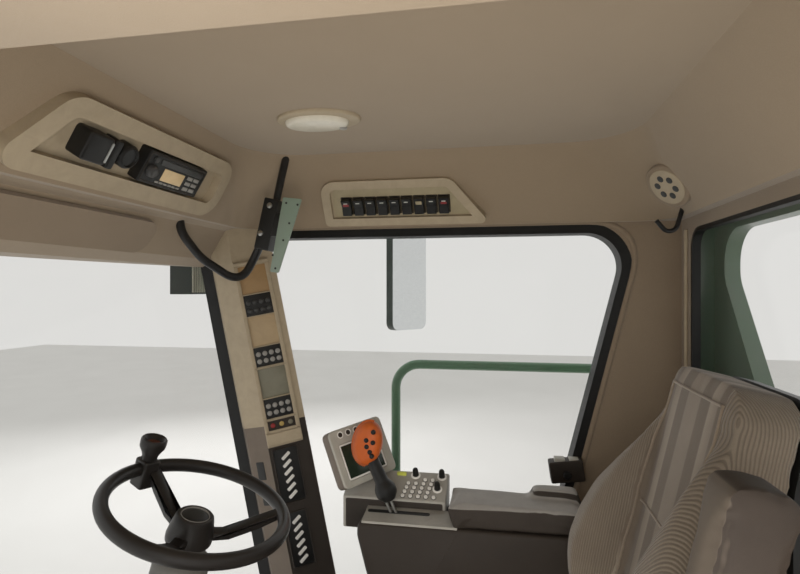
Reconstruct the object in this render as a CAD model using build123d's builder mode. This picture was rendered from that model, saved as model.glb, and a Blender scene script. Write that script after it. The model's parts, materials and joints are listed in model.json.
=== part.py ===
from build123d import *
from math import cos, radians, sin
import os

# Operator's cab of a combine harvester, as the module that bolts to the machine.
# Millimetres. +X is the cab's right, +Y its front, +Z up. The origin is on the
# ground under the middle of the cab, where its four isolators stand.

# Shell: overall widths, heights and the raked front
INNER_HALF = 870
WALL = 60
OUTER_HALF = INNER_HALF + WALL
MOUNT_H = 60
RAIL_H = 125
PAN_T = 15
PAN_TOP = MOUNT_H + RAIL_H + PAN_T
SHELL_BOTTOM = PAN_TOP - PAN_T
SHELL_TOP = 1905
REAR_OUTER = -940
REAR_PANEL_T = 40
REAR_INNER = REAR_OUTER + REAR_PANEL_T
RAKE = 0.2085
POST_Y_AT_PAN = 391
POST_DEPTH = 70
BOW = 150
GLASS_T = 6
SEAL_W = 30
GAP = 8
SEAT_GAP = 0.3

# Base and its isolators
RAIL_W = 100
MOUNT_PITCH_X = 1120
MOUNT_PITCH_Y = 940
RAIL_LEN = 1180
MOUNT_Y = -130
ISOLATOR_R = 48
ISOLATOR_WAIST_R = 38
BOLT_HOLE_R = 9
MAT_T = 8
MAT_TOP = PAN_TOP + MAT_T

# Windows: top and bottom of the openings, and their corner radii
SIDE_TOP = 1699
SIDE_BOTTOM = 500
WINDOW_REAR_Y_AT_TOP = -707
WINDOW_REAR_SLOPE = 0.25
DOOR_REAR_Y = -660
DOOR_BOTTOM = 225
DOOR_FRAME_W = 55
DOOR_SEAL_LIP = 22
REAR_GLASS_HALF = 760
REAR_GLASS_BOTTOM = 1173
REAR_GLASS_TOP = 1658
REAR_TRIM_Y = -804
REAR_TRIM_T = 22
WINDSHIELD_TOP = 1640
SIDE_TRIM_T = 25

# Roof
ROOF_T = 85
ROOF_HALF = 945
ROOF_REACH = 950
ROOF_SIDE_Y = 790
FASCIA_BOTTOM = WINDSHIELD_TOP
FASCIA_REACH = 935
CEILING = 1890
LINER_BOTTOM = 1700
LINER_FRONT = 560
SOFFIT_BOTTOM = 1577

# Operator's seat and what rides on it
SEAT_X = 150
SEAT_W = 500
RAILS_TOP = 545
CUSHION_BOTTOM = 580
CUSHION_TOP = 700
RECLINE = 13
CONSOLE_X0 = 440
CONSOLE_X1 = 620
PAD_TOP = 990

# Steering
WHEEL_CENTRE = (SEAT_X, 299, 1070)
WHEEL_TILT = 17.5
WHEEL_R = 176
RIM_R = 13

# Training seat
TRAINER_X = -585
TRAINER_W = 430

nodes = []


def keep(builder, name):
    """Names a finished piece and puts it on the list to write."""
    builder.part.label = name
    nodes.append(builder.part)


def post_y(z, behind=0):
    """Where the raked front edge of the side walls is at a height."""
    return POST_Y_AT_PAN + (z - PAN_TOP) * RAKE - behind


def outline(plane, points, radius, inset=0):
    """A closed outline with rounded corners, on a plane."""
    with BuildSketch(plane) as face:
        with BuildLine():
            FilletPolyline(*points, radius=radius, close=True)
        make_face()
        if inset:
            offset(amount=-inset, mode=Mode.REPLACE)
    return face.sketch


def front_region(z, reach, out=0):
    """The region ahead of the bowed front, on a level plane at height z."""
    side = OUTER_HALF + 200
    y = post_y(z) + out
    sagitta = BOW * (side / OUTER_HALF) ** 2
    with BuildSketch(Plane.XY.offset(z)) as face:
        with BuildLine():
            ThreePointArc((-side, y + BOW - sagitta), (0, y + BOW), (side, y + BOW - sagitta))
            Polyline((side, y + BOW - sagitta), (side, y + reach), (-side, y + reach), (-side, y + BOW - sagitta))
        make_face()
    return face.sketch


def ahead_of_front(z0, z1, out=0):
    """A raked block that holds all the space ahead of the bowed front."""
    rise = z1 - z0
    direction = Vector(0, RAKE, 1)
    with BuildPart() as block:
        extrude(front_region(z0, 900, out), amount=rise * direction.length, dir=direction)
    return block.part


# Base: two box rails with cross members, on four isolators
with BuildPart() as base_rails:
    with BuildSketch(Plane.XY.offset(MOUNT_H)):
        with Locations((0, MOUNT_Y)):
            with GridLocations(MOUNT_PITCH_X, 0, 2, 1):
                Rectangle(RAIL_W, RAIL_LEN)
    extrude(amount=RAIL_H)
    with BuildSketch(Plane.XY.offset(MOUNT_H + RAIL_H - RAIL_W)):
        with Locations((0, MOUNT_Y)):
            with GridLocations(0, MOUNT_PITCH_Y, 1, 2):
                Rectangle(MOUNT_PITCH_X - RAIL_W, RAIL_W)
    extrude(amount=RAIL_W)
keep(base_rails, "base_rails")

with BuildPart() as isolators:
    for x in (-MOUNT_PITCH_X / 2, MOUNT_PITCH_X / 2):
        for y in (MOUNT_Y - MOUNT_PITCH_Y / 2, MOUNT_Y + MOUNT_PITCH_Y / 2):
            with BuildSketch(Plane(origin=(x, y, 0), x_dir=(1, 0, 0), z_dir=(0, -1, 0))):
                with BuildLine():
                    Polyline(
                        (BOLT_HOLE_R, 0),
                        (ISOLATOR_R, 0),
                        (ISOLATOR_R, MOUNT_H * 0.25),
                        (ISOLATOR_WAIST_R, MOUNT_H * 0.4),
                        (ISOLATOR_WAIST_R, MOUNT_H * 0.6),
                        (ISOLATOR_R, MOUNT_H * 0.75),
                        (ISOLATOR_R, MOUNT_H),
                        (BOLT_HOLE_R, MOUNT_H),
                        close=True,
                    )
                make_face()
            revolve(axis=Axis((x, y, 0), (0, 0, 1)))
keep(isolators, "isolators")

# Floor pan with the bowed front edge, and the mat on it
front_cut = ahead_of_front(SHELL_BOTTOM - 5, SHELL_TOP + 5)
with BuildPart() as floor_pan:
    with BuildSketch(Plane.XY.offset(SHELL_BOTTOM)):
        with Locations((0, REAR_INNER)):
            Rectangle(2 * INNER_HALF, 2000, align=(Align.CENTER, Align.MIN))
    extrude(amount=PAN_T)
    add(front_cut, mode=Mode.SUBTRACT)
keep(floor_pan, "floor_pan")

mat_cut = ahead_of_front(SHELL_BOTTOM - 5, MAT_TOP + 5, out=-12)
with BuildPart() as floor_mat:
    with BuildSketch(Plane.XY.offset(PAN_TOP)):
        with Locations((0, REAR_TRIM_Y)):
            Rectangle(2 * (INNER_HALF - SIDE_TRIM_T), 2000, align=(Align.CENTER, Align.MIN))
    extrude(amount=MAT_T)
    add(mat_cut, mode=Mode.SUBTRACT)
keep(floor_mat, "floor_mat")

# Side walls: one pressed panel a side, from the rear corner to the raked front post
wall_points = [
    (REAR_OUTER, SHELL_BOTTOM),
    (post_y(SHELL_BOTTOM) + 60, SHELL_BOTTOM),
    (post_y(SHELL_TOP) + 60, SHELL_TOP),
    (REAR_OUTER, SHELL_TOP),
]
window_points = [
    (WINDOW_REAR_Y_AT_TOP + (SIDE_TOP - SIDE_BOTTOM) * WINDOW_REAR_SLOPE, SIDE_BOTTOM),
    (post_y(SIDE_BOTTOM, POST_DEPTH), SIDE_BOTTOM),
    (post_y(SIDE_TOP, POST_DEPTH), SIDE_TOP),
    (WINDOW_REAR_Y_AT_TOP, SIDE_TOP),
]
window_radii = [90, 50, 50, 130]
door_points = [
    (DOOR_REAR_Y, DOOR_BOTTOM),
    (post_y(DOOR_BOTTOM, POST_DEPTH), DOOR_BOTTOM),
    (post_y(SIDE_TOP, POST_DEPTH), SIDE_TOP),
    (DOOR_REAR_Y, SIDE_TOP),
]
door_radii = [60, 50, 50, 90]
right_plane = Plane.YZ.offset(INNER_HALF)
left_plane = Plane.YZ.offset(-OUTER_HALF)

with BuildPart() as side_wall_right:
    extrude(outline(right_plane, wall_points, 0.5), amount=WALL)
    extrude(outline(right_plane, window_points, window_radii), amount=WALL, mode=Mode.SUBTRACT)
    add(front_cut, mode=Mode.SUBTRACT)
keep(side_wall_right, "side_wall_right")

with BuildPart() as side_wall_left:
    extrude(outline(left_plane, wall_points, 0.5), amount=WALL)
    extrude(outline(left_plane, door_points, door_radii), amount=WALL, mode=Mode.SUBTRACT)
    add(front_cut, mode=Mode.SUBTRACT)
keep(side_wall_left, "side_wall_left")

# Rear panel: its opening narrows downwards, and the rear glass is well inside it
rear_plane = Plane.XZ.offset(-REAR_INNER)
rear_opening = [(-430, 1010), (430, 1010), (800, 1530), (800, 1665), (-800, 1665), (-800, 1530)]
with BuildPart() as rear_panel:
    with BuildSketch(rear_plane):
        with Locations((0, SHELL_BOTTOM)):
            Rectangle(2 * INNER_HALF, SHELL_TOP - SHELL_BOTTOM, align=(Align.CENTER, Align.MIN))
    extrude(amount=REAR_PANEL_T)
    extrude(outline(rear_plane, rear_opening, [60, 60, 80, 90, 90, 80]), amount=REAR_PANEL_T, mode=Mode.SUBTRACT)
keep(rear_panel, "rear_panel")

# Glass: the bowed windshield, the right window and the rear window, with their seals
with BuildPart() as windshield:
    rise = WINDSHIELD_TOP - PAN_TOP
    add(ahead_of_front(PAN_TOP, WINDSHIELD_TOP))
    add(ahead_of_front(PAN_TOP - 5, WINDSHIELD_TOP + 5, out=GLASS_T), mode=Mode.SUBTRACT)
    with Locations((0, 500, (PAN_TOP + WINDSHIELD_TOP) / 2)):
        Box(2 * OUTER_HALF, 2000, rise + 100, mode=Mode.INTERSECT)
keep(windshield, "windshield")

with BuildPart() as right_window:
    pane = outline(Plane.YZ.offset(INNER_HALF + WALL / 2), window_points, window_radii, SEAL_W + 0.2)
    extrude(pane, amount=GLASS_T)
keep(right_window, "right_window")

with BuildPart() as right_seal:
    seal_plane = Plane.YZ.offset(INNER_HALF - SIDE_TRIM_T)
    extrude(outline(seal_plane, window_points, window_radii, 0.2), amount=SIDE_TRIM_T + WALL - 8)
    extrude(outline(seal_plane, window_points, window_radii, SEAL_W), amount=200, mode=Mode.SUBTRACT)
keep(right_seal, "right_seal")

rear_glass_points = [
    (-REAR_GLASS_HALF, REAR_GLASS_BOTTOM),
    (REAR_GLASS_HALF, REAR_GLASS_BOTTOM),
    (REAR_GLASS_HALF, REAR_GLASS_TOP),
    (-REAR_GLASS_HALF, REAR_GLASS_TOP),
]
trim_plane = Plane.XZ.offset(-REAR_TRIM_Y)
with BuildPart() as rear_trim:
    with BuildSketch(trim_plane):
        with Locations((0, PAN_TOP)):
            Rectangle(2 * INNER_HALF, LINER_BOTTOM - PAN_TOP, align=(Align.CENTER, Align.MIN))
    extrude(amount=REAR_TRIM_T)
    extrude(outline(trim_plane, rear_glass_points, 45, -10), amount=REAR_TRIM_T, mode=Mode.SUBTRACT)
keep(rear_trim, "rear_trim")

with BuildPart() as rear_seal:
    extrude(outline(trim_plane, rear_glass_points, 45, -10), amount=REAR_TRIM_T)
    extrude(outline(trim_plane, rear_glass_points, 45), amount=REAR_TRIM_T, mode=Mode.SUBTRACT)
keep(rear_seal, "rear_seal")

with BuildPart() as rear_window:
    extrude(outline(Plane.XZ.offset(-REAR_TRIM_Y + REAR_TRIM_T), rear_glass_points, 45, -25), amount=GLASS_T)
keep(rear_window, "rear_window")

with BuildPart() as windshield_seal:
    strip_points = [
        (post_y(PAN_TOP, POST_DEPTH), PAN_TOP),
        (post_y(PAN_TOP) + 60, PAN_TOP),
        (post_y(WINDSHIELD_TOP) + 60, WINDSHIELD_TOP),
        (post_y(WINDSHIELD_TOP, POST_DEPTH), WINDSHIELD_TOP),
    ]
    for x in (INNER_HALF - SIDE_TRIM_T, -INNER_HALF):
        extrude(outline(Plane.YZ.offset(x), strip_points, 0.5), amount=SIDE_TRIM_T)
    add(front_cut, mode=Mode.SUBTRACT)
keep(windshield_seal, "windshield_seal")

# Inner wall trim, cut round the right window and the door
trim_points = [
    (REAR_TRIM_Y, PAN_TOP),
    (post_y(PAN_TOP, POST_DEPTH), PAN_TOP),
    (post_y(LINER_BOTTOM, POST_DEPTH), LINER_BOTTOM),
    (REAR_TRIM_Y, LINER_BOTTOM),
]
with BuildPart() as side_trim_right:
    plane = Plane.YZ.offset(INNER_HALF - SIDE_TRIM_T)
    extrude(outline(plane, trim_points, 0.5), amount=SIDE_TRIM_T)
    extrude(outline(plane, window_points, window_radii), amount=SIDE_TRIM_T, mode=Mode.SUBTRACT)
keep(side_trim_right, "side_trim_right")

with BuildPart() as side_trim_left:
    plane = Plane.YZ.offset(-INNER_HALF)
    extrude(outline(plane, trim_points, 0.5), amount=SIDE_TRIM_T)
    extrude(outline(plane, door_points, door_radii, DOOR_SEAL_LIP), amount=SIDE_TRIM_T, mode=Mode.SUBTRACT)
keep(side_trim_left, "side_trim_left")

with BuildPart() as door_seal:
    plane = Plane.YZ.offset(-INNER_HALF)
    extrude(outline(plane, door_points, door_radii, 0.2), amount=-5)
    extrude(outline(plane, door_points, door_radii, DOOR_SEAL_LIP), amount=-5, mode=Mode.SUBTRACT)
keep(door_seal, "door_seal")

# Roof: crowned cap over the front fascia with its lamps
with BuildPart() as roof_cap:
    with BuildSketch(Plane.XY.offset(SHELL_TOP)):
        with BuildLine():
            ThreePointArc((ROOF_HALF, ROOF_SIDE_Y), (0, ROOF_REACH), (-ROOF_HALF, ROOF_SIDE_Y))
            Polyline((-ROOF_HALF, ROOF_SIDE_Y), (-ROOF_HALF, -ROOF_REACH), (ROOF_HALF, -ROOF_REACH), (ROOF_HALF, ROOF_SIDE_Y))
        make_face()
        fillet(vertices(), 80)
    extrude(amount=ROOF_T)
    fillet(faces().sort_by(Axis.Z)[-1].edges(), 45)
keep(roof_cap, "roof_cap")

FASCIA_SIDE_Y = ROOF_SIDE_Y - 15
FASCIA_R = (OUTER_HALF ** 2 + (FASCIA_REACH - FASCIA_SIDE_Y) ** 2) / (2 * (FASCIA_REACH - FASCIA_SIDE_Y))


def fascia_y(x):
    """Where the front of the bowed fascia is."""
    return FASCIA_REACH - FASCIA_R + (FASCIA_R ** 2 - x ** 2) ** 0.5


def lamp_plane(x):
    """The bottom of the lamp recess at a place along the fascia."""
    outwards = Vector(x / FASCIA_R, (1 - (x / FASCIA_R) ** 2) ** 0.5, 0)
    origin = Vector(x, fascia_y(x), LAMP_Z) - outwards * LAMP_RECESS
    return Plane(origin=origin, x_dir=(-outwards.Y, outwards.X, 0), z_dir=outwards)


LAMP_W = 150
LAMP_H = 95
LAMP_Z = 1790
LAMP_RECESS = 28
lamp_xs = [-650, -390, -130, 130, 390, 650]
with BuildPart() as roof_fascia:
    with BuildSketch(Plane.XY.offset(FASCIA_BOTTOM)):
        with BuildLine():
            ThreePointArc((OUTER_HALF, FASCIA_SIDE_Y), (0, FASCIA_REACH), (-OUTER_HALF, FASCIA_SIDE_Y))
            Polyline((-OUTER_HALF, FASCIA_SIDE_Y), (-OUTER_HALF, 500), (OUTER_HALF, 500), (OUTER_HALF, FASCIA_SIDE_Y))
        make_face()
    extrude(amount=SHELL_TOP - FASCIA_BOTTOM)
    add(front_cut, mode=Mode.INTERSECT)
    for x in lamp_xs:
        with BuildSketch(lamp_plane(x)):
            RectangleRounded(LAMP_W, LAMP_H, 18)
        extrude(amount=100, mode=Mode.SUBTRACT)
keep(roof_fascia, "roof_fascia")

with BuildPart() as roof_lamps:
    for x in lamp_xs:
        with BuildSketch(lamp_plane(x)):
            RectangleRounded(LAMP_W - 0.5, LAMP_H - 0.5, 17.8)
        extrude(amount=20)
keep(roof_lamps, "roof_lamps")

# Headliner: a moulded shell whose ceiling is recessed behind smooth coves
LINER_RECESS_LOW = (-450, 835, REAR_TRIM_Y + 30, 540)
LINER_RECESS_HIGH = (-360, 655, -625, 410)


def recess_outline(z, box, radius):
    """One level section of the ceiling recess."""
    x0, x1, y0, y1 = box
    return outline(Plane.XY.offset(z), [(x0, y0), (x1, y0), (x1, y1), (x0, y1)], radius)


with BuildPart() as headliner:
    with Locations((0, (REAR_INNER + LINER_FRONT) / 2, LINER_BOTTOM)):
        Box(
            2 * INNER_HALF,
            LINER_FRONT - REAR_INNER,
            SHELL_TOP - LINER_BOTTOM,
            align=(Align.CENTER, Align.CENTER, Align.MIN),
        )
    loft(
        sections=[
            recess_outline(LINER_BOTTOM, LINER_RECESS_LOW, 90).face(),
            recess_outline(CEILING, LINER_RECESS_HIGH, 160).face(),
        ],
        ruled=True,
        mode=Mode.SUBTRACT,
    )
keep(headliner, "headliner")

INNER_SPAN = INNER_HALF - SIDE_TRIM_T
with BuildPart() as front_soffit:
    soffit_points = [
        (LINER_FRONT, SHELL_TOP),
        (LINER_FRONT, LINER_BOTTOM),
        (585, 1690),
        (655, 1600),
        (700, SOFFIT_BOTTOM),
        (1000, SOFFIT_BOTTOM),
        (1000, SHELL_TOP),
    ]
    extrude(outline(Plane.YZ.offset(-INNER_SPAN), soffit_points, 0.5), amount=2 * INNER_SPAN)
    add(front_cut, mode=Mode.SUBTRACT)
    for side in (-1, 1):
        with BuildPart(mode=Mode.PRIVATE) as end_piece:
            with Locations((side * (INNER_SPAN + SIDE_TRIM_T / 2), LINER_FRONT, LINER_BOTTOM)):
                Box(SIDE_TRIM_T, 600, SHELL_TOP - LINER_BOTTOM, align=(Align.CENTER, Align.MIN, Align.MIN))
            add(front_cut, mode=Mode.SUBTRACT)
        add(end_piece.part)
keep(front_soffit, "front_soffit")

visor_plane = Plane(origin=(40, 616, 1642), x_dir=(1, 0, 0), z_dir=(0, -0.789, -0.614))
with BuildPart() as sun_visor:
    with BuildSketch(visor_plane):
        RectangleRounded(800, 96, 40)
    extrude(amount=14)
    with BuildSketch(visor_plane):
        with Locations((-330, 30), (330, 30)):
            Rectangle(40, 14)
    extrude(amount=-20)
    add(front_soffit.part, mode=Mode.SUBTRACT)
keep(sun_visor, "sun_visor")

# Pods on the coves: the radio's over the windshield, the switches' over the right window
radio_plane = Plane(origin=(0, 505, 1700), x_dir=(1, 0, 0), z_dir=(0, -0.851, -0.524))
radio_points = [(-120, 0), (556, 0), (545, 162), (-20, 162)]
radio_radii = [30, 60, 55, 60]
with BuildPart() as radio_pod:
    extrude(outline(radio_plane, radio_points, radio_radii), amount=-90)
    extrude(outline(radio_plane, radio_points, radio_radii, 38), amount=-22, mode=Mode.SUBTRACT)
    add(headliner.part, mode=Mode.SUBTRACT)
    add(front_soffit.part, mode=Mode.SUBTRACT)
keep(radio_pod, "radio_pod")

with BuildPart() as radio_set:
    with BuildSketch(radio_plane.offset(-22)):
        with Locations((330, 82)):
            RectangleRounded(200, 58, 6)
    extrude(amount=26)
    with BuildSketch(radio_plane.offset(-22)):
        with Locations((120, 92)):
            RectangleRounded(70, 40, 8)
    extrude(amount=45)
keep(radio_set, "radio_set")

switch_plane = Plane(origin=(792, 0, 1698), x_dir=(0, -1, 0), z_dir=(-0.82, 0, -0.572))
switch_points = [(-245, 0), (262, 0), (150, 148), (-240, 148)]
with BuildPart() as switch_pod:
    extrude(outline(switch_plane, switch_points, [14, 14, 45, 45]), amount=-90)
    extrude(outline(switch_plane, switch_points, [14, 14, 45, 45], 26), amount=-12, mode=Mode.SUBTRACT)
    add(headliner.part, mode=Mode.SUBTRACT)
keep(switch_pod, "switch_pod")

ROCKERS = 9
with BuildPart() as rocker_switches:
    with BuildSketch(switch_plane.offset(-12)):
        with Locations((-20, 64)):
            with GridLocations(37, 0, ROCKERS, 1):
                RectangleRounded(30, 52, 3)
    extrude(amount=16)
keep(rocker_switches, "rocker_switches")

with BuildPart() as dome_light:
    with BuildSketch(Plane.XY.offset(CEILING)):
        with Locations((343, 115)):
            Ellipse(68, 97)
    extrude(amount=-16)
    fillet(faces().sort_by(Axis.Z)[0].edges(), 8)
keep(dome_light, "dome_light")

# Corner post trim: two faces along the raked post, with a darker cover below
rake_axis = Vector(0, RAKE, 1).normalized()


def post_plane(z):
    """A plane square to the raked posts, with its origin on their front line."""
    return Plane(origin=(0, post_y(z), z), x_dir=(1, 0, 0), z_dir=rake_axis)


COVER_TOP = 1040
COVER_BOTTOM = 290
corner_profile = [(INNER_SPAN, -12), (805, -40), (785, -118), (INNER_SPAN, -243)]
with BuildPart() as corner_trim:
    extrude(outline(post_plane(COVER_TOP), corner_profile, 2), amount=(1760 - COVER_TOP) / rake_axis.Z)
    with Locations((0, 600, LINER_BOTTOM)):
        Box(3000, 3000, 300, align=(Align.CENTER, Align.CENTER, Align.MIN), mode=Mode.SUBTRACT)
    add(front_soffit.part, mode=Mode.SUBTRACT)
keep(corner_trim, "corner_trim")

with BuildPart() as corner_cover:
    extrude(outline(post_plane(COVER_TOP), corner_profile, 2), amount=-(COVER_TOP - COVER_BOTTOM) / rake_axis.Z)
keep(corner_cover, "corner_cover")

module_plane = Plane(
    origin=(795, post_y(COVER_TOP, 160), COVER_TOP),
    x_dir=Vector(-60, -125, 0).normalized(),
    z_dir=Vector(-125, 60, 0).normalized(),
)

# Operator's seat: suspension, sliding frame and cushion
SEAT_Y = -245
with BuildPart() as seat_suspension:
    with Locations((SEAT_X, SEAT_Y, MAT_TOP)):
        Box(420, 420, 20, align=(Align.CENTER, Align.CENTER, Align.MIN))
    with BuildSketch(Plane.XY.offset(MAT_TOP + 20)):
        with Locations((SEAT_X, SEAT_Y)):
            RectangleRounded(390, 390, 40)
    extrude(amount=RAILS_TOP - 40 - MAT_TOP - 20, taper=2)
    with Locations((SEAT_X, SEAT_Y, RAILS_TOP - 40)):
        Box(400, 400, 40, align=(Align.CENTER, Align.CENTER, Align.MIN))
keep(seat_suspension, "seat_suspension")

FRAME_W = 460
FRAME_LEN = 450
PIVOT_Y = -515
PIVOT_Z = 650
with BuildPart() as seat_frame:
    with Locations((SEAT_X, -235, RAILS_TOP + SEAT_GAP)):
        Box(FRAME_W, FRAME_LEN, CUSHION_BOTTOM - RAILS_TOP - SEAT_GAP, align=(Align.CENTER, Align.CENTER, Align.MIN))
    for side in (-1, 1):
        plate = [(-440, 560), (-440, 600), (PIVOT_Y + 25, 680), (PIVOT_Y - 30, 680), (PIVOT_Y - 30, 620), (-470, 560)]
        start = SEAT_X + side * 252 - (6 if side < 0 else 0)
        extrude(outline(Plane.YZ.offset(start), plate, 8), amount=6)
        with Locations((SEAT_X + side * (FRAME_W / 2 + 14), -455, 552)):
            Box(40, 40, 24, align=(Align.CENTER, Align.CENTER, Align.MIN))
    with Locations((SEAT_X + 225, SEAT_Y, RAILS_TOP + SEAT_GAP)):
        Box(180, 200, CUSHION_BOTTOM - RAILS_TOP - SEAT_GAP, align=(Align.MIN, Align.CENTER, Align.MIN))
    with Locations((SEAT_X + 345, SEAT_Y, RAILS_TOP + SEAT_GAP)):
        Box(60, 200, 660 - RAILS_TOP - SEAT_GAP, align=(Align.MIN, Align.CENTER, Align.MIN))
keep(seat_frame, "seat_frame")

with BuildPart() as seat_cushion:
    with Locations((SEAT_X, -210, CUSHION_BOTTOM)):
        Box(SEAT_W, 460, CUSHION_TOP - CUSHION_BOTTOM, align=(Align.CENTER, Align.CENTER, Align.MIN))
    fillet(edges().filter_by(Axis.Z), 60)
    fillet(faces().sort_by(Axis.Z)[-1].edges(), 30)
keep(seat_cushion, "seat_cushion")

ARM_X = -185
ARM_W = 75
ARM_PIVOT = Vector(ARM_X + ARM_W, -495, 915)

# Seat back on its two recliner pivots, with a hard shell behind the upholstery
lean = Vector(0, -sin(radians(RECLINE)), cos(radians(RECLINE)))
back_plane = Plane(
    origin=(SEAT_X, -455, 640), x_dir=(1, 0, 0), z_dir=(0, cos(radians(RECLINE)), sin(radians(RECLINE)))
)
BACK_LEN = 755
PAD_DEPTH = 95
SHELL_DEPTH = 32
back_side = [(235, 0), (246, 250), (235, 470), (168, 610), (158, BACK_LEN)]
back_outline = [(x, -y) for x, y in back_side] + [(-x, -y) for x, y in reversed(back_side)]
back_radii = [40, 120, 120, 90, 65, 65, 90, 120, 120, 40]
with BuildPart() as seat_back:
    extrude(outline(back_plane, back_outline, back_radii), amount=-PAD_DEPTH)
keep(seat_back, "seat_back")

with BuildPart() as seat_shell:
    extrude(outline(back_plane.offset(-PAD_DEPTH), back_outline, back_radii, 12), amount=-SHELL_DEPTH)
    with Locations((SEAT_X, PIVOT_Y - 65, PIVOT_Z)):
        Box(490, 20, 24)
    for side in (-1, 1):
        with Locations((SEAT_X + side * 245, PIVOT_Y - 25, PIVOT_Z)):
            Box(10, 80, 24)
        with Locations((SEAT_X + side * 246, PIVOT_Y, PIVOT_Z)):
            Cylinder(16, 11, rotation=(0, 90, 0))
    with Locations((-105, ARM_PIVOT.Y + 16, ARM_PIVOT.Z)):
        Box(6, 160, 50, align=(Align.MIN, Align.MAX, Align.CENTER))
    with Locations((-105, -618, ARM_PIVOT.Z)):
        Box(30, 22, 50, align=(Align.MIN, Align.MAX, Align.CENTER))
    with Locations((ARM_PIVOT.X + 0.5, ARM_PIVOT.Y, ARM_PIVOT.Z)):
        Cylinder(15, 6, rotation=(0, 90, 0), align=(Align.CENTER, Align.CENTER, Align.MIN))
    add(seat_back.part, mode=Mode.SUBTRACT)
keep(seat_shell, "seat_shell")

# Left armrest: folded up beside the back, on a pivot of the shell
with BuildPart() as left_armrest:
    with BuildSketch(Plane(origin=(ARM_X, ARM_PIVOT.Y, ARM_PIVOT.Z), x_dir=lean, z_dir=(1, 0, 0))):
        with Locations((170, 0)):
            RectangleRounded(420, 88, 30)
    extrude(amount=ARM_W)
keep(left_armrest, "left_armrest")

# Right console, carried by the seat's frame
console_points = [(58, 935), (50, 850), (15, 760), (-60, 660), (-520, 660), (-545, 930), (-200, 935)]
with BuildPart() as console:
    side_face = outline(Plane.YZ.offset(CONSOLE_X0), console_points, [25, 60, 60, 30, 30, 20, 0.5])
    extrude(side_face, amount=CONSOLE_X1 - CONSOLE_X0)
keep(console, "console")

with BuildPart() as armrest_pad:
    pad = [(-165, 935), (-150, PAD_TOP), (-495, PAD_TOP), (-495, 935)]
    extrude(outline(Plane.YZ.offset(CONSOLE_X0 - 5), pad, [5, 12, 20, 5]), amount=130)
keep(armrest_pad, "armrest_pad")

with BuildPart() as keypad_panel:
    keypad = [(-150, 935), (-150, 985), (40, 1000), (40, 935)]
    extrude(outline(Plane.YZ.offset(CONSOLE_X0 + 130), keypad, 5), amount=CONSOLE_X1 - CONSOLE_X0 - 100)
keep(keypad_panel, "keypad_panel")

with BuildPart() as control_lever:
    with Locations((500, -15, 935)):
        Cone(34, 14, 60, align=(Align.CENTER, Align.CENTER, Align.MIN))
    with BuildSketch(Plane(origin=(500, -15, 985), x_dir=(1, 0, 0), z_dir=(0, 0.4, 0.9165))):
        Circle(11)
    extrude(amount=80)
keep(control_lever, "control_lever")

with BuildPart() as lever_head:
    with Locations(Location((500, 35, 1108), (22, 0, 0))):
        Box(50, 88, 112)
        fillet(edges(), 14)
    add(control_lever.part, mode=Mode.SUBTRACT)
keep(lever_head, "lever_head")

monitor_plane = Plane(origin=(560, 70, 1068), x_dir=(-0.72, 0.69, 0.1), z_dir=(-0.62, -0.67, 0.4))
with BuildPart() as monitor:
    with BuildSketch(monitor_plane):
        RectangleRounded(190, 170, 18)
    extrude(amount=-45)
    with BuildSketch(Plane(origin=(592, 100, 935), x_dir=(1, 0, 0), z_dir=(0, 0, 1))):
        Circle(14)
    extrude(amount=110)
    add(keypad_panel.part, mode=Mode.SUBTRACT)
keep(monitor, "monitor")

# Steering: pedestal, tilting column, wheel and its knob
wheel_axis = Vector(0, -sin(radians(WHEEL_TILT)), cos(radians(WHEEL_TILT)))
wheel_ahead = Vector(0, cos(radians(WHEEL_TILT)), sin(radians(WHEEL_TILT)))
wheel_plane = Plane(origin=WHEEL_CENTRE, x_dir=(1, 0, 0), z_dir=wheel_axis)
HUB_BELOW = 45
TILT_REACH = 470
tilt_pivot = Vector(*WHEEL_CENTRE) - wheel_axis * TILT_REACH

with BuildPart() as steering_wheel:
    with BuildSketch(Plane(origin=WHEEL_CENTRE, x_dir=(1, 0, 0), z_dir=-wheel_ahead)):
        with Locations((WHEEL_R, 0)):
            Circle(RIM_R)
    revolve(axis=Axis(WHEEL_CENTRE, wheel_axis))
    with BuildSketch(wheel_plane.offset(-HUB_BELOW)):
        Circle(46)
    extrude(amount=62)
    with BuildSketch(wheel_plane.offset(-8)):
        with Locations((0, 0)):
            with PolarLocations(0, 3, start_angle=60):
                Rectangle(WHEEL_R, 26, align=(Align.MIN, Align.CENTER))
    extrude(amount=12)
keep(steering_wheel, "steering_wheel")

with BuildPart() as spinner_knob:
    with BuildSketch(wheel_plane.offset(RIM_R - 1)):
        with Locations((60, WHEEL_R - 8)):
            Circle(11)
    extrude(amount=45)
    with BuildSketch(wheel_plane.offset(RIM_R + 42)):
        with Locations((60, WHEEL_R - 8)):
            Circle(24)
    extrude(amount=48)
    fillet(faces().sort_by(Axis.Z)[-1].edges(), 12)
    add(steering_wheel.part, mode=Mode.SUBTRACT)
keep(spinner_knob, "spinner_knob")

with BuildPart() as steering_column:
    with BuildSketch(wheel_plane.offset(-HUB_BELOW - 1)):
        Circle(40)
    extrude(amount=-(TILT_REACH - HUB_BELOW - 40))
    with Locations(tilt_pivot):
        Cylinder(45, 60, rotation=(0, 90, 0))
keep(steering_column, "steering_column")

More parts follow.
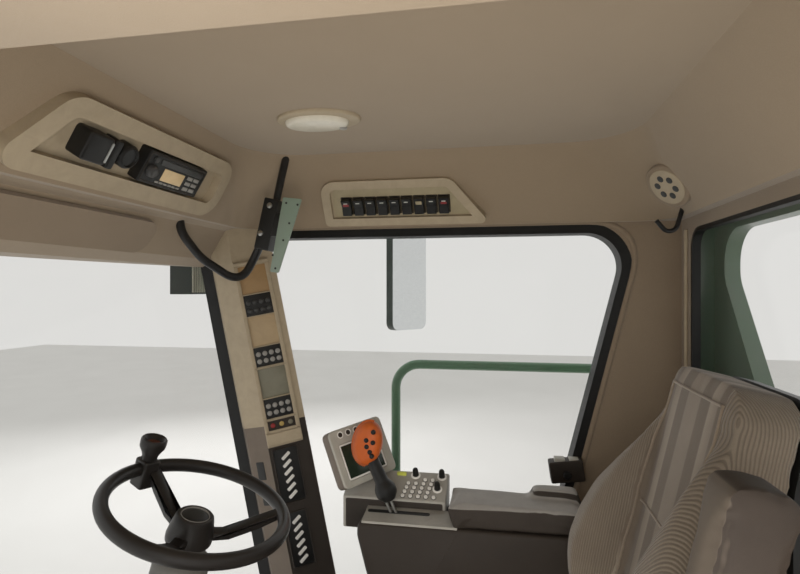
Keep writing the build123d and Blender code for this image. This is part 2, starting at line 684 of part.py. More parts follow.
with BuildPart() as pedestal:
    with Locations((SEAT_X, tilt_pivot.Y, MAT_TOP)):
        Box(150, 130, tilt_pivot.Z - 70 - MAT_TOP, align=(Align.CENTER, Align.CENTER, Align.MIN))
    for side in (-1, 1):
        with Locations((SEAT_X + side * 55, tilt_pivot.Y, tilt_pivot.Z - 70)):
            Box(20, 80, 70, align=(Align.CENTER, Align.CENTER, Align.MIN))
        with Locations((SEAT_X + side * 55, tilt_pivot.Y, tilt_pivot.Z)):
            Cylinder(40, 20, rotation=(0, 90, 0))
    for side in (-1, 1):
        with Locations((SEAT_X + side * 37.85, tilt_pivot.Y, tilt_pivot.Z)):
            Cylinder(15, 15, rotation=(0, 90, 0))
keep(pedestal, "pedestal")

# Training seat on the left, beside the door
with BuildPart() as trainer_base:
    with Locations((TRAINER_X, -490, MAT_TOP)):
        Box(TRAINER_W, 440, 560 - MAT_TOP, align=(Align.CENTER, Align.CENTER, Align.MIN))
    for side in (-1, 1):
        with Locations((TRAINER_X + side * (TRAINER_W / 2 + 4), -725, 500)):
            Box(8, 70, 200, align=(Align.CENTER, Align.CENTER, Align.MIN))
keep(trainer_base, "trainer_base")

with BuildPart() as trainer_cushion:
    with Locations((TRAINER_X, -485, 560)):
        Box(TRAINER_W - 10, 430, 80, align=(Align.CENTER, Align.CENTER, Align.MIN))
    fillet(edges().filter_by(Axis.Z), 40)
    fillet(faces().sort_by(Axis.Z)[-1].edges(), 20)
keep(trainer_cushion, "trainer_cushion")

TRAINER_PIVOT = (TRAINER_X, -745, 680)
with BuildPart() as trainer_back:
    with Locations((TRAINER_X, -745, 655)):
        Box(TRAINER_W - 20, 60, 470, align=(Align.CENTER, Align.CENTER, Align.MIN))
    fillet(edges().filter_by(Axis.Y), 50)
    with Locations(TRAINER_PIVOT):
        Cylinder(14, TRAINER_W - 1, rotation=(0, 90, 0))
keep(trainer_back, "trainer_back")

# Door: a framed pane, hung at its rear edge
door_plane = Plane.YZ.offset(-OUTER_HALF + 5)
DOOR_T = WALL - 15
HINGE_X = -OUTER_HALF - 22
HINGE_Y = DOOR_REAR_Y - 8
hinge_zs = (480, 1430)
with BuildPart() as door_frame:
    extrude(outline(door_plane, door_points, door_radii, GAP), amount=DOOR_T)
    extrude(outline(door_plane, door_points, door_radii, GAP + DOOR_FRAME_W), amount=WALL, mode=Mode.SUBTRACT)
    for z in hinge_zs:
        with Locations((HINGE_X, HINGE_Y, z)):
            Cylinder(10, 40, align=(Align.CENTER, Align.CENTER, Align.MIN))
        with Locations((HINGE_X + 6, HINGE_Y, z)):
            Box(10, 70, 40, align=(Align.MIN, Align.MIN, Align.MIN))
        with Locations((HINGE_X + 6, DOOR_REAR_Y + 12, z)):
            Box(22, 50, 40, align=(Align.MIN, Align.MIN, Align.MIN))
keep(door_frame, "door_frame")

with BuildPart() as door_glass:
    extrude(outline(door_plane.offset(15), door_points, door_radii, GAP + DOOR_FRAME_W), amount=GLASS_T)
keep(door_glass, "door_glass")

with BuildPart() as door_hinges:
    for z in hinge_zs:
        with Locations((HINGE_X, HINGE_Y, z - 30.3)):
            Cylinder(10, 30, align=(Align.CENTER, Align.CENTER, Align.MIN))
        with Locations((HINGE_X, HINGE_Y - 40, z - 30.3)):
            Box(22, 40, 30, align=(Align.MIN, Align.MIN, Align.MIN))
keep(door_hinges, "door_hinges")

# Mirrors on arms, and the work lamps under the fascia
MIRROR_W = 185
MIRROR_H = 390
right_mirror = Plane(origin=(1250, 56, 1540), x_dir=(-0.82, 0.572, 0), z_dir=(-0.572, -0.82, 0))
left_mirror = Plane(origin=(-1248.2, 660, 1540), x_dir=(1, 0, 0), z_dir=(0.2, -0.98, 0))
with BuildPart() as mirror_right:
    with BuildSketch(right_mirror):
        RectangleRounded(MIRROR_W, MIRROR_H, 30)
    extrude(amount=-35)
keep(mirror_right, "mirror_right")

with BuildPart() as mirror_left:
    with BuildSketch(left_mirror):
        RectangleRounded(MIRROR_W, MIRROR_H, 30)
    extrude(amount=-35)
keep(mirror_left, "mirror_left")


def tube(points, bend, radius):
    """A round tube bent along a line of points."""
    with BuildPart(mode=Mode.PRIVATE) as bar:
        with BuildLine() as path:
            FilletPolyline(*points, radius=bend)
        with BuildSketch(Plane(origin=path.line @ 0, z_dir=path.line % 0)):
            Circle(radius)
        sweep(path=path.line)
    return bar.part


with BuildPart() as mirror_arms:
    add(tube([(OUTER_HALF, 300, 1850), (1273, 300, 1850), (1273, 89, 1850), (1273, 89, 1600)], 40, 11))
    add(tube([(-OUTER_HALF, 720, 1850), (-1256, 720, 1850), (-1256, 701, 1810), (-1256, 701, 1600)], 15, 11))
    add(mirror_right.part, mode=Mode.SUBTRACT)
    add(mirror_left.part, mode=Mode.SUBTRACT)
keep(mirror_arms, "mirror_arms")

with BuildPart() as work_lamps:
    for side in (-1, 1):
        with Locations((side * 880, 772, 1542)):
            Box(98, 80, 113)
        with Locations((side * 880, 765, 1598)):
            Box(30, 30, FASCIA_BOTTOM - 1598, align=(Align.CENTER, Align.CENTER, Align.MIN))
keep(work_lamps, "work_lamps")

# Handrail along the right side, on two outriggers from the base
RAIL_X = 1150
RAIL_TOP = 1225
RAIL_R = 17
STRUT_Z = MOUNT_H + RAIL_H / 2
with BuildPart() as handrail:
    add(
        tube(
            [
                (MOUNT_PITCH_X / 2 + RAIL_W / 2, 92, STRUT_Z),
                (RAIL_X, 92, STRUT_Z),
                (RAIL_X, 92, RAIL_TOP),
                (RAIL_X, -690, RAIL_TOP),
                (RAIL_X, -690, STRUT_Z),
                (MOUNT_PITCH_X / 2 + RAIL_W / 2, -690, STRUT_Z),
            ],
            90,
            RAIL_R,
        )
    )
keep(handrail, "handrail")

os.makedirs("parts", exist_ok=True)
for part in nodes:
    export_step(part, f"parts/{part.label}.step")
print(len(nodes), "nodes written")
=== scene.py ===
import bpy
import bmesh
import json
from math import atan, cos, pi, radians, sin, tan, tanh
from mathutils import Matrix, Vector
from mathutils.bvhtree import BVHTree


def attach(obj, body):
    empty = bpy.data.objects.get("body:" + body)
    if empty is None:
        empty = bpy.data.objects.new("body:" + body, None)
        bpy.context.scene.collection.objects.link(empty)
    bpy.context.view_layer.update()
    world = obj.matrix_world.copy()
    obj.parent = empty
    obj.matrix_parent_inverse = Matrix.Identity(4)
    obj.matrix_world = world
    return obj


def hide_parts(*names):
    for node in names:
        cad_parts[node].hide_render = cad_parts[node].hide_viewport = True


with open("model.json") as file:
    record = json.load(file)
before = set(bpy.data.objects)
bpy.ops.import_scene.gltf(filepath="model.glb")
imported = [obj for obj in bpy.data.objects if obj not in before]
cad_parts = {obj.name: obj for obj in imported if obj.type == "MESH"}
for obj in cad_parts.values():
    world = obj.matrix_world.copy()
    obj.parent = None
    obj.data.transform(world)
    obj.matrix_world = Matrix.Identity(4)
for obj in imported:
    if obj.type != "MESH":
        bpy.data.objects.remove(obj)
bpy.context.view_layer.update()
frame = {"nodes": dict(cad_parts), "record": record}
nodes = frame["nodes"]
scene = bpy.context.scene
scene.view_settings.view_transform = "Standard"

# Camera: at the photograph's eye point, left of the seat, looking to the right and a little forward
CAMERA_AT = Vector((-0.83, -0.29, 1.50))
LENS_PIXELS = 540
FRAME_W = 800
VANISHING_X, HORIZON_Y = 100, 3
SENSOR_W = 36
look_yaw = atan(VANISHING_X / LENS_PIXELS)
camera_data = bpy.data.cameras.new("camera")
camera_data.lens = SENSOR_W * LENS_PIXELS / FRAME_W
camera_data.sensor_width = SENSOR_W
camera_data.shift_y = HORIZON_Y / FRAME_W
camera_data.clip_start = 0.02
camera = bpy.data.objects.new("camera", camera_data)
scene.collection.objects.link(camera)
view_direction = Vector((cos(look_yaw), sin(look_yaw), 0))
camera.location = CAMERA_AT
camera.rotation_euler = view_direction.to_track_quat("-Z", "Y").to_euler()
scene.camera = camera


# Helpers for materials
def links(material):
    return material.node_tree.nodes, material.node_tree.links


def new_material(name, roughness=0.6, metallic=0.0, **sockets):
    """An empty Principled material with its plain values set."""
    material = bpy.data.materials.new(name)
    material.use_nodes = True
    shader = material.node_tree.nodes["Principled BSDF"]
    shader.inputs["Roughness"].default_value = roughness
    shader.inputs["Metallic"].default_value = metallic
    for socket, value in sockets.items():
        shader.inputs[socket.replace("_", " ")].default_value = value
    return material


def noise(material, scale, detail=3.0, roughness=0.55, stretch=(1, 1, 1), distortion=0.0):
    """A noise value in object space."""
    nodes_, links_ = links(material)
    coords = nodes_.new("ShaderNodeTexCoord")
    mapping = nodes_.new("ShaderNodeMapping")
    mapping.inputs["Scale"].default_value = stretch
    texture = nodes_.new("ShaderNodeTexNoise")
    texture.inputs["Scale"].default_value = scale
    texture.inputs["Detail"].default_value = detail
    texture.inputs["Roughness"].default_value = roughness
    texture.inputs["Distortion"].default_value = distortion
    links_.new(coords.outputs["Object"], mapping.inputs["Vector"])
    links_.new(mapping.outputs["Vector"], texture.inputs["Vector"])
    return texture.outputs["Fac"]


def axes_of(material, output):
    """The three values of a texture coordinate."""
    nodes_, links_ = links(material)
    coords = nodes_.new("ShaderNodeTexCoord")
    split = nodes_.new("ShaderNodeSeparateXYZ")
    links_.new(coords.outputs[output], split.inputs[0])
    return split.outputs


def calc(material, operation, a, b=0.0):
    """One sum in a material; each term is an output or a number."""
    nodes_, links_ = links(material)
    node = nodes_.new("ShaderNodeMath")
    node.operation = operation
    for socket, value in zip(node.inputs, (a, b)):
        if isinstance(value, bpy.types.NodeSocket):
            links_.new(value, socket)
        else:
            socket.default_value = value
    return node.outputs[0]


def ramp(material, value, stops):
    """Colours along a value: stops are (place, (r, g, b))."""
    nodes_, links_ = links(material)
    node = nodes_.new("ShaderNodeValToRGB")
    elements = node.color_ramp.elements
    while len(elements) < len(stops):
        elements.new(0.5)
    for element, (place, colour) in zip(elements, stops):
        element.position = place
        element.color = (*colour, 1)
    links_.new(value, node.inputs["Fac"])
    return node.outputs["Color"]


# The mix node's factor and two colours
MIX_SOCKETS = (0, 6, 7)


def mix(material, factor, a, b, blend="MIX"):
    """Mixes two colours; each is an output or a plain colour."""
    nodes_, links_ = links(material)
    node = nodes_.new("ShaderNodeMix")
    node.data_type = "RGBA"
    node.blend_type = blend
    for socket, value in zip((node.inputs[i] for i in MIX_SOCKETS), (factor, a, b)):
        if isinstance(value, bpy.types.NodeSocket):
            links_.new(value, socket)
        elif isinstance(value, tuple):
            socket.default_value = (*value, 1)
        else:
            socket.default_value = value
    return node.outputs[2]


def paint(material, colour):
    nodes_, links_ = links(material)
    target = nodes_["Principled BSDF"].inputs["Base Color"]
    if isinstance(colour, bpy.types.NodeSocket):
        links_.new(colour, target)
    else:
        target.default_value = (*colour, 1)


def bump(material, height, distance, strength=1.0):
    """Adds bumps of a depth in metres, over any that are there."""
    nodes_, links_ = links(material)
    node = nodes_.new("ShaderNodeBump")
    node.inputs["Strength"].default_value = strength
    node.inputs["Distance"].default_value = distance
    links_.new(height, node.inputs["Height"])
    target = nodes_["Principled BSDF"].inputs["Normal"]
    if target.links:
        links_.new(target.links[0].from_socket, node.inputs["Normal"])
    links_.new(node.outputs["Normal"], target)


def shade(colour, factor):
    return tuple(c * factor for c in colour)


def felt(name, colour, deep=0.72):
    """Short felt over moulded board: mottled, with a fine nap."""
    material = new_material(name, roughness=0.95, Sheen_Weight=0.25, Sheen_Roughness=0.5)
    fibres = noise(material, 900, detail=4, roughness=0.7)
    patches = noise(material, 7, detail=5, roughness=0.6, distortion=0.4)
    base = ramp(material, patches, [(0.3, shade(colour, deep + 0.14)), (0.7, colour)])
    nap = ramp(material, fibres, [(0.3, (deep,) * 3), (0.7, (1.06,) * 3)])
    paint(material, mix(material, 1.0, base, nap, "MULTIPLY"))
    bump(material, fibres, 0.0005, 0.6)
    bump(material, patches, 0.004, 0.15)
    return material


def plastic(name, colour, roughness=0.5, grain=0.00012, worn=0.88):
    """Moulded plastic with a fine leather-like grain and faint scuffs."""
    material = new_material(name, roughness=roughness)
    grains = noise(material, 1400, detail=2)
    scuffs = noise(material, 22, detail=6, roughness=0.7, distortion=0.8)
    paint(material, ramp(material, scuffs, [(0.35, shade(colour, worn)), (0.65, colour)]))
    bump(material, grains, grain, 0.8)
    return material


def lit_by_facing(name, front, side, axis):
    """Grained vinyl with one colour on what faces along an axis and another on the sides; the difference
    between them is painted light, with the faces along the axis painted as lit.
    """
    material = new_material(name, roughness=0.62)
    facing = axes_of(material, "Normal")[axis]
    scuffs = noise(material, 18, detail=6, roughness=0.7)
    # Painted light: the colour follows each face's normal, the lit colour on faces along the axis and the
    # other colour on the sides.
    lit_and_shaded = ramp(material, facing, [(0.52, side), (0.62, front)])
    worn = ramp(material, scuffs, [(0.35, (0.86,) * 3), (0.65, (1.0,) * 3)])
    paint(material, mix(material, 1.0, lit_and_shaded, worn, "MULTIPLY"))
    bump(material, noise(material, 1200, detail=2), 0.0003, 0.8)
    return material


def enamel(name, colour, roughness=0.35):
    """Sprayed paint on steel: faint orange peel and road dust."""
    material = new_material(name, roughness=roughness, Coat_Weight=0.25)
    peel = noise(material, 260, detail=2)
    dust = noise(material, 9, detail=7, roughness=0.65)
    dusty = tuple(0.75 * c + 0.06 for c in colour)
    paint(material, ramp(material, dust, [(0.42, colour), (0.72, dusty)]))
    bump(material, peel, 0.0003, 0.3)
    return material


def glass(name, colour, alpha, roughness=0.03):
    material = new_material(name, roughness=roughness, Alpha=alpha)
    dirt = noise(material, 5, detail=8, roughness=0.7)
    paint(material, ramp(material, dirt, [(0.45, colour), (0.8, tuple(c + 0.08 for c in colour))]))
    material.surface_render_method = "BLENDED"
    return material


def steel(name, colour, roughness=0.3):
    material = new_material(name, roughness=roughness, metallic=1.0)
    brush = noise(material, 120, detail=4, stretch=(1, 1, 12))
    paint(material, ramp(material, brush, [(0.3, shade(colour, 0.8)), (0.7, colour)]))
    bump(material, brush, 0.0001, 0.4)
    return material


SEAT_X = 0.150
RECLINE = radians(13)
BOLSTER_EDGE = 0.150
BOLSTER_SLANT = 0.065
CORD_PITCH = 0.0052
BAND_SCALE = 6.2


def striped_fabric(name):
    """Seat cloth: broad bands on the centre panel, fine raised cords on the bolsters."""
    material = new_material(name, roughness=0.95, Sheen_Weight=0.2, Sheen_Roughness=0.45)

    def term(operation, a, b=0.0):
        return calc(material, operation, a, b)

    x, y, z = axes_of(material, "Object")
    across = term("ABSOLUTE", term("SUBTRACT", x, SEAT_X))
    ahead = term("ADD", term("MULTIPLY", y, cos(RECLINE)), term("MULTIPLY", z, sin(RECLINE)))
    up = term("SUBTRACT", term("MULTIPLY", z, cos(RECLINE)), term("MULTIPLY", y, sin(RECLINE)))
    turn = term("MULTIPLY", term("ADD", across, ahead), 2 * pi / CORD_PITCH)
    cords = term("ADD", term("MULTIPLY", term("SINE", turn), 0.5), 0.5)
    edge = term("SUBTRACT", BOLSTER_EDGE + 0.9 * BOLSTER_SLANT, term("MULTIPLY", up, BOLSTER_SLANT))
    on_bolster = term("GREATER_THAN", across, edge)
    pale, tan_, brown = (0.28, 0.235, 0.185), (0.225, 0.185, 0.145), (0.14, 0.11, 0.083)
    bands = ramp(material, term("MULTIPLY", across, BAND_SCALE), [
        (0.0, tan_), (0.16, tan_), (0.19, brown), (0.40, brown), (0.43, pale), (0.58, tan_),
        (0.61, brown), (0.84, brown), (0.87, pale), (1.0, tan_),
    ])
    corded = ramp(material, cords, [(0.1, (0.14, 0.112, 0.085)), (0.6, (0.205, 0.168, 0.128))])
    cloth = mix(material, on_bolster, bands, corded)
    weave = noise(material, 1100, detail=3, roughness=0.7)
    wear = noise(material, 9, detail=5, distortion=0.5)
    nap = ramp(material, weave, [(0.3, (0.8,) * 3), (0.7, (1.05,) * 3)])
    faded = ramp(material, wear, [(0.3, (0.86,) * 3), (0.7, (1.0,) * 3)])
    paint(material, mix(material, 1.0, mix(material, 1.0, cloth, nap, "MULTIPLY"), faded, "MULTIPLY"))
    bump(material, term("MULTIPLY", cords, on_bolster), 0.0009, 0.8)
    bump(material, weave, 0.0004, 0.5)
    return material


LINER = (0.33, 0.255, 0.175)
TRIM = (0.28, 0.215, 0.15)
BEIGE = (0.43, 0.355, 0.25)
DARK = (0.032, 0.025, 0.02)
looks = {
    "cab_paint": enamel("cab_green", (0.15, 0.21, 0.15)),
    "frame_paint": enamel("chassis_black", (0.025, 0.025, 0.024), 0.45),
    "roof_paint": enamel("roof_green", (0.05, 0.15, 0.045)),
    "rail_paint": enamel("rail_green", (0.14, 0.26, 0.155), 0.3),
    "isolator_rubber": plastic("isolator_rubber", (0.02, 0.02, 0.02), 0.9, 0.0003),
    "mat_rubber": plastic("mat_rubber", (0.035, 0.032, 0.03), 0.9, 0.0004),
    "seal_rubber": plastic("seal_rubber", (0.006, 0.006, 0.006), 0.55, 0.0001),
    "tinted_glass": glass("tinted_glass", (0.05, 0.10, 0.07), 0.16),
    "liner_felt": felt("liner_felt", LINER, 0.82),
    "trim_felt": felt("trim_felt", TRIM, 0.8),
    "beige_plastic": plastic("beige_plastic", BEIGE, 0.55),
    "dark_plastic": plastic("dark_plastic", DARK, 0.55, 0.0002),
    "grey_plastic": plastic("grey_plastic", (0.36, 0.345, 0.31), 0.5),
    "black_plastic": plastic("black_plastic", (0.012, 0.012, 0.012), 0.42),
    "wheel_plastic": plastic("wheel_plastic", (0.016, 0.014, 0.013), 0.36, 0.0002),
    "orange_plastic": plastic("orange_plastic", (0.50, 0.105, 0.02), 0.42),
    "seat_fabric": striped_fabric("seat_fabric"),
    "lens_clear": plastic("lens_clear", (0.72, 0.68, 0.58), 0.25),
    "bright_steel": steel("bright_steel", (0.62, 0.62, 0.6)),
}
cover_grey = plastic("cover_grey", (0.17, 0.135, 0.105), 0.55)
window_tan = plastic("window_tan", (0.36, 0.23, 0.11), 0.45)
window_sand = plastic("window_sand", (0.44, 0.33, 0.20), 0.45)
window_grey = plastic("window_grey", (0.20, 0.19, 0.14), 0.3)
key_grey = plastic("key_grey", (0.30, 0.29, 0.27), 0.35)
key_dark = plastic("key_dark", (0.05, 0.05, 0.05), 0.3)
louvre_pale = plastic("louvre_pale", (0.80, 0.78, 0.74), 0.3)
plate_green = enamel("plate_green", (0.23, 0.30, 0.24), 0.4)
pod_olive = plastic("pod_olive", (0.40, 0.34, 0.22), 0.55)
screen_dark = plastic("screen_dark", (0.02, 0.03, 0.02), 0.12, 0.00002)
bezel_pale = plastic("bezel_pale", (0.40, 0.385, 0.34), 0.45)
lcd_cream = plastic("lcd_cream", (0.80, 0.60, 0.34), 0.2, 0.00002)
mark_white = plastic("mark_white", (0.70, 0.70, 0.66), 0.4)
mark_red = plastic("mark_red", (0.28, 0.03, 0.03), 0.3)
mark_amber = plastic("mark_amber", (0.42, 0.30, 0.10), 0.3)
lever_yellow = plastic("lever_yellow", (0.62, 0.66, 0.12), 0.4)
column_grey = plastic("column_grey", (0.12, 0.115, 0.105), 0.5)
knob_brown = plastic("knob_brown", (0.13, 0.05, 0.035), 0.3)
mirror_glass = steel("mirror_glass", (0.8, 0.82, 0.83), 0.04)
panel_inner = enamel("panel_inner", (0.25, 0.31, 0.25))
# Painted light on the armrest pad: its top is painted pale, as if lit from above, over the pad's own dark
# brown vinyl sides.
pad_vinyl_lit_top = lit_by_facing("pad_vinyl_lit_top", (0.31, 0.295, 0.275), (0.04, 0.032, 0.026), 2)
# Painted light on the left armrest: its front faces are painted a lighter brown as lit, and the other faces a
# darker copy as painted shade.
arm_vinyl_lit_front = lit_by_facing("arm_vinyl_lit_front", (0.11, 0.088, 0.068), (0.045, 0.034, 0.027), 1)
seam_thread = felt("seam_thread", (0.24, 0.19, 0.14), 0.7)

slot_of = {part["node"]: part["material_slot"] for part in frame["record"]["subparts"]}
for name, node in nodes.items():
    node.data.materials.clear()
    node.data.materials.append(looks[slot_of[name]])


# Helpers for pieces: sizes are in millimetres, on frames of the part
def place_at(origin, x_dir, z_dir):
    """A frame on the part: an origin in millimetres, its x direction and what is outwards."""
    z = Vector(z_dir).normalized()
    x = Vector(x_dir)
    x = (x - z * x.dot(z)).normalized()
    place = Matrix((x, z.cross(x), z)).transposed().to_4x4()
    place.translation = Vector(origin) / 1000
    return place


def dress(name, rules, place=None):
    """Gives a node's faces their looks by (look, test); a test has a face's middle in mm and its normal."""
    mesh = nodes[name].data
    local = (place or Matrix.Identity(4)).inverted()
    mesh.materials.clear()
    for look, test in rules:
        mesh.materials.append(look)
    for polygon in mesh.polygons:
        middle = (local @ polygon.center) * 1000
        normal = local.to_3x3() @ polygon.normal
        for index, (look, test) in enumerate(rules):
            if test is None or test(middle, normal):
                polygon.material_index = index
                break


def add_piece(name, mesh, body, slot, look=None, replaces=None):
    """Puts a mesh in the scene as a piece that rides on a body; its look is the slot's if none is given."""
    piece = bpy.data.objects.new(name, mesh)
    scene.collection.objects.link(piece)
    mesh.materials.append(look or looks[slot])
    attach(piece, body)
    if replaces:
        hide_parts(replaces)


def skin(bm, rings, loop=False):
    """Faces between rings of points in metres, with flat ends where they aren't a loop."""
    verts = [[bm.verts.new(point) for point in ring] for ring in rings]
    pairs = list(zip(verts, verts[1:])) + ([(verts[-1], verts[0])] if loop else [])
    for lower, upper in pairs:
        count = len(lower)
        for i in range(count):
            j = (i + 1) % count
            bm.faces.new((lower[i], lower[j], upper[j], upper[i]))
    if not loop:
        bm.faces.new(verts[-1])
        bm.faces.new(reversed(verts[0]))


def finish_mesh(name, bm, sharp=36):
    """Turns the build into a smooth-shaded mesh with its sharp edges kept."""
    bmesh.ops.recalc_face_normals(bm, faces=bm.faces)
    mesh = bpy.data.meshes.new(name)
    bm.to_mesh(mesh)
    bm.free()
    mesh.shade_smooth()
    mesh.set_sharp_from_angle(angle=radians(sharp))
    return mesh


def rounded(points, radii, steps=5):
    """An outline's points with its corners rounded."""
    if not isinstance(radii, (list, tuple)):
        radii = [radii] * len(points)
    result = []
    for i, radius in enumerate(radii):
        corner = Vector(points[i])
        before = Vector(points[i - 1]) - corner
        after = Vector(points[(i + 1) % len(points)]) - corner
        reach = min(radius / tan(before.angle(after) / 2), 0.48 * before.length, 0.48 * after.length)
        start = corner + before.normalized() * reach
        end = corner + after.normalized() * reach
        for step in range(steps + 1):
            t = step / steps
            result.append(tuple(start.lerp(corner, t).lerp(corner.lerp(end, t), t)))
    return result


def box_outline(x0, x1, y0, y1, radius=2):
    return rounded([(x0, y0), (x1, y0), (x1, y1), (x0, y1)], radius)


def disc(x, y, radius, radius_y=None, turn=0.0, steps=28):
    """Points round a circle or a turned ellipse."""
    radius_y = radius_y or radius
    points = []
    for i in range(steps):
        a = radius * cos(2 * pi * i / steps)
        b = radius_y * sin(2 * pi * i / steps)
        points.append((x + a * cos(turn) - b * sin(turn), y + a * sin(turn) + b * cos(turn)))
    return points


def turned_by(points, degrees, at=(0, 0)):
    """An outline turned about the origin and then moved."""
    c, s = cos(radians(degrees)), sin(radians(degrees))
    return [(at[0] + x * c - y * s, at[1] + x * s + y * c) for x, y in points]


def inset(points, distance):
    """An outline moved inwards."""
    area = sum(a[0] * b[1] - b[0] * a[1] for a, b in zip(points, points[1:] + points[:1]))
    side = 1 if area > 0 else -1
    moved = []
    for i, (x, y) in enumerate(points):
        along = (Vector(points[(i + 1) % len(points)]) - Vector(points[i - 1])).normalized()
        moved.append((x - along.y * distance * side, y + along.x * distance * side))
    return moved


def ring_at(place, points, height):
    return [place @ (Vector((x, y, height)) / 1000) for x, y in points]


# A rounded edge's rings: how far below the face and inwards
EDGE_STEPS = ((0, 1), (0.15, 0.5), (0.55, 0.12), (1, 0))


def slabs(name, place, shapes, low, high, edge, body, slot, look=None, low_edge=0.0, replaces=None):
    """Flat pieces on a frame, between two heights, with rounded edges."""
    levels = [(low, 0)]
    if low_edge:
        levels = [(low + deep * low_edge, move * low_edge) for deep, move in EDGE_STEPS]
    levels += [(high - deep * edge, move * edge) for deep, move in reversed(EDGE_STEPS)]
    bm = bmesh.new()
    for points in shapes:
        skin(bm, [ring_at(place, inset(points, move), height) for height, move in levels])
    add_piece(name, finish_mesh(name, bm), body, slot, look, replaces)


def ring_slab(name, place, pairs, low, high, edge, body, slot, look=None):
    """Raised frames: pairs of outer and inner outlines with as many points."""
    bm = bmesh.new()
    for outer, inner in pairs:
        rings = [
            ring_at(place, outer, low), ring_at(place, outer, high - edge),
            ring_at(place, inset(outer, edge), high),
            ring_at(place, inset(inner, -edge), high), ring_at(place, inner, high - edge),
            ring_at(place, inner, low),
        ]
        skin(bm, rings, loop=True)
    add_piece(name, finish_mesh(name, bm), body, slot, look)


def turned_group(name, place, profiles, body, slot, look=None, steps=44, replaces=None):
    """Turned pieces about a frame's z: lists of (radius, height), with a centre on the frame."""
    bm = bmesh.new()
    for (x, y), profile in profiles:
        rings = [
            ring_at(place, disc(x, y, max(radius, 0.05), steps=steps), height) for radius, height in profile
        ]
        skin(bm, rings)
    add_piece(name, finish_mesh(name, bm, 42), body, slot, look, replaces)


def turned(name, place, profile, body, slot, look=None, at=((0, 0),), steps=44, replaces=None):
    """One turned shape, a list of (radius, height), at each of some spots on a frame."""
    turned_group(name, place, [(spot, profile) for spot in at], body, slot, look, steps, replaces)


def eased(points, reach, steps=6):
    """An open route with its bends rounded."""
    route = [Vector(points[0])]
    for a, b, c in zip(points, points[1:], points[2:]):
        a, b, c = Vector(a), Vector(b), Vector(c)
        start = b + (a - b).normalized() * min(reach, 0.48 * (a - b).length)
        end = b + (c - b).normalized() * min(reach, 0.48 * (c - b).length)
        for step in range(steps + 1):
            t = step / steps
            route.append(start.lerp(b, t).lerp(b.lerp(end, t), t))
    return route + [Vector(points[-1])]


def tubes(name, routes, radius, body, slot, look=None, loop=False, sides=12):
    """Round tubes along routes of points in millimetres."""
    bm = bmesh.new()
    for route in routes:
        route = [Vector(point) / 1000 for point in route]
        count = len(route)
        rings = []
        across = None
        for i, point in enumerate(route):
            if loop:
                along = route[(i + 1) % count] - route[i - 1]
            else:
                along = route[min(i + 1, count - 1)] - route[max(i - 1, 0)]
            along.normalize()
            across = across or along.orthogonal()
            across = (across - along * across.dot(along)).normalized()
            up = along.cross(across)
            rings.append([
                point + (across * cos(2 * pi * k / sides) + up * sin(2 * pi * k / sides)) * radius / 1000
                for k in range(sides)
            ])
        skin(bm, rings, loop=loop)
    add_piece(name, finish_mesh(name, bm, 50), body, slot, look)


# Cushions: a slightly smaller copy, blown up as cloth, with its swell limited
CLOTH_FRAMES = 20
cushions = []


def mesh_of(piece):
    return bpy.data.meshes.new_from_object(piece.evaluated_get(bpy.context.evaluated_depsgraph_get()))


def soft(node, body, look, voxel, shrink, swell, extra=None, source=None):
    """Prepares a cushion over a node's solid, or over a build of its own, for the cloth step."""
    bm = bmesh.new()
    if source:
        bm.from_mesh(source)
    else:
        bm.from_mesh(nodes[node].data)
    bmesh.ops.remove_doubles(bm, verts=bm.verts, dist=0.00002)
    if extra:
        extra(bm)
    bmesh.ops.recalc_face_normals(bm, faces=bm.faces)
    mesh = bpy.data.meshes.new(node + "_cover")
    bm.to_mesh(mesh)
    bm.free()
    mesh.materials.clear()
    piece = bpy.data.objects.new(node + "_cover", mesh)
    scene.collection.objects.link(piece)
    remesh = piece.modifiers.new("remesh", "REMESH")
    remesh.mode = "VOXEL"
    remesh.voxel_size = voxel
    smooth = piece.modifiers.new("smooth", "SMOOTH")
    smooth.factor = 0.5
    smooth.iterations = 6
    shrinker = piece.modifiers.new("shrink", "DISPLACE")
    shrinker.mid_level = 0
    shrinker.strength = -shrink
    bpy.context.view_layer.update()
    small = mesh_of(piece)
    piece.modifiers.clear()
    piece.data = small
    small.materials.clear()
    small.materials.append(look)
    cloth = piece.modifiers.new("cloth", "CLOTH")
    cloth.settings.quality = 4
    cloth.settings.use_pressure = True
    cloth.settings.uniform_pressure_force = 4
    cloth.settings.effector_weights.gravity = 0
    cushions.append((node, piece, body, swell))
    return piece


def settle():
    """Runs the cloth of all cushions at once and keeps each point's swell within its limit."""
    starts = [[v.co.copy() for v in piece.data.vertices] for node, piece, body, swell in cushions]
    for step in range(CLOTH_FRAMES):
        scene.frame_set(step + 1)
    for (node, piece, body, swell), start in zip(cushions, starts):
        puffed = piece.evaluated_get(bpy.context.evaluated_depsgraph_get()).to_mesh()
        moves = [v.co - s for v, s in zip(puffed.vertices, start)]
        piece.modifiers.clear()
        for vertex, s, move in zip(piece.data.vertices, start, moves):
            vertex.co = s + move * (swell * tanh(move.length / swell) / max(move.length, 1e-6))
    scene.frame_set(1)
    for node, piece, body, swell in cushions:
        subdivide = piece.modifiers.new("subdivide", "SUBSURF")
        subdivide.levels = 1
        subdivide.render_levels = 1
        bpy.context.view_layer.update()
        fine = mesh_of(piece)
        piece.modifiers.clear()
        piece.data = fine
        fine.shade_smooth()
        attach(piece, body)
        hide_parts(node)


def between(value, table):
    """A value read from a short table of (place, value)."""
    for (a, va), (b, vb) in zip(table, table[1:]):
        if value <= b:
            return va + (vb - va) * (value - a) / (b - a)
    return table[-1][1]


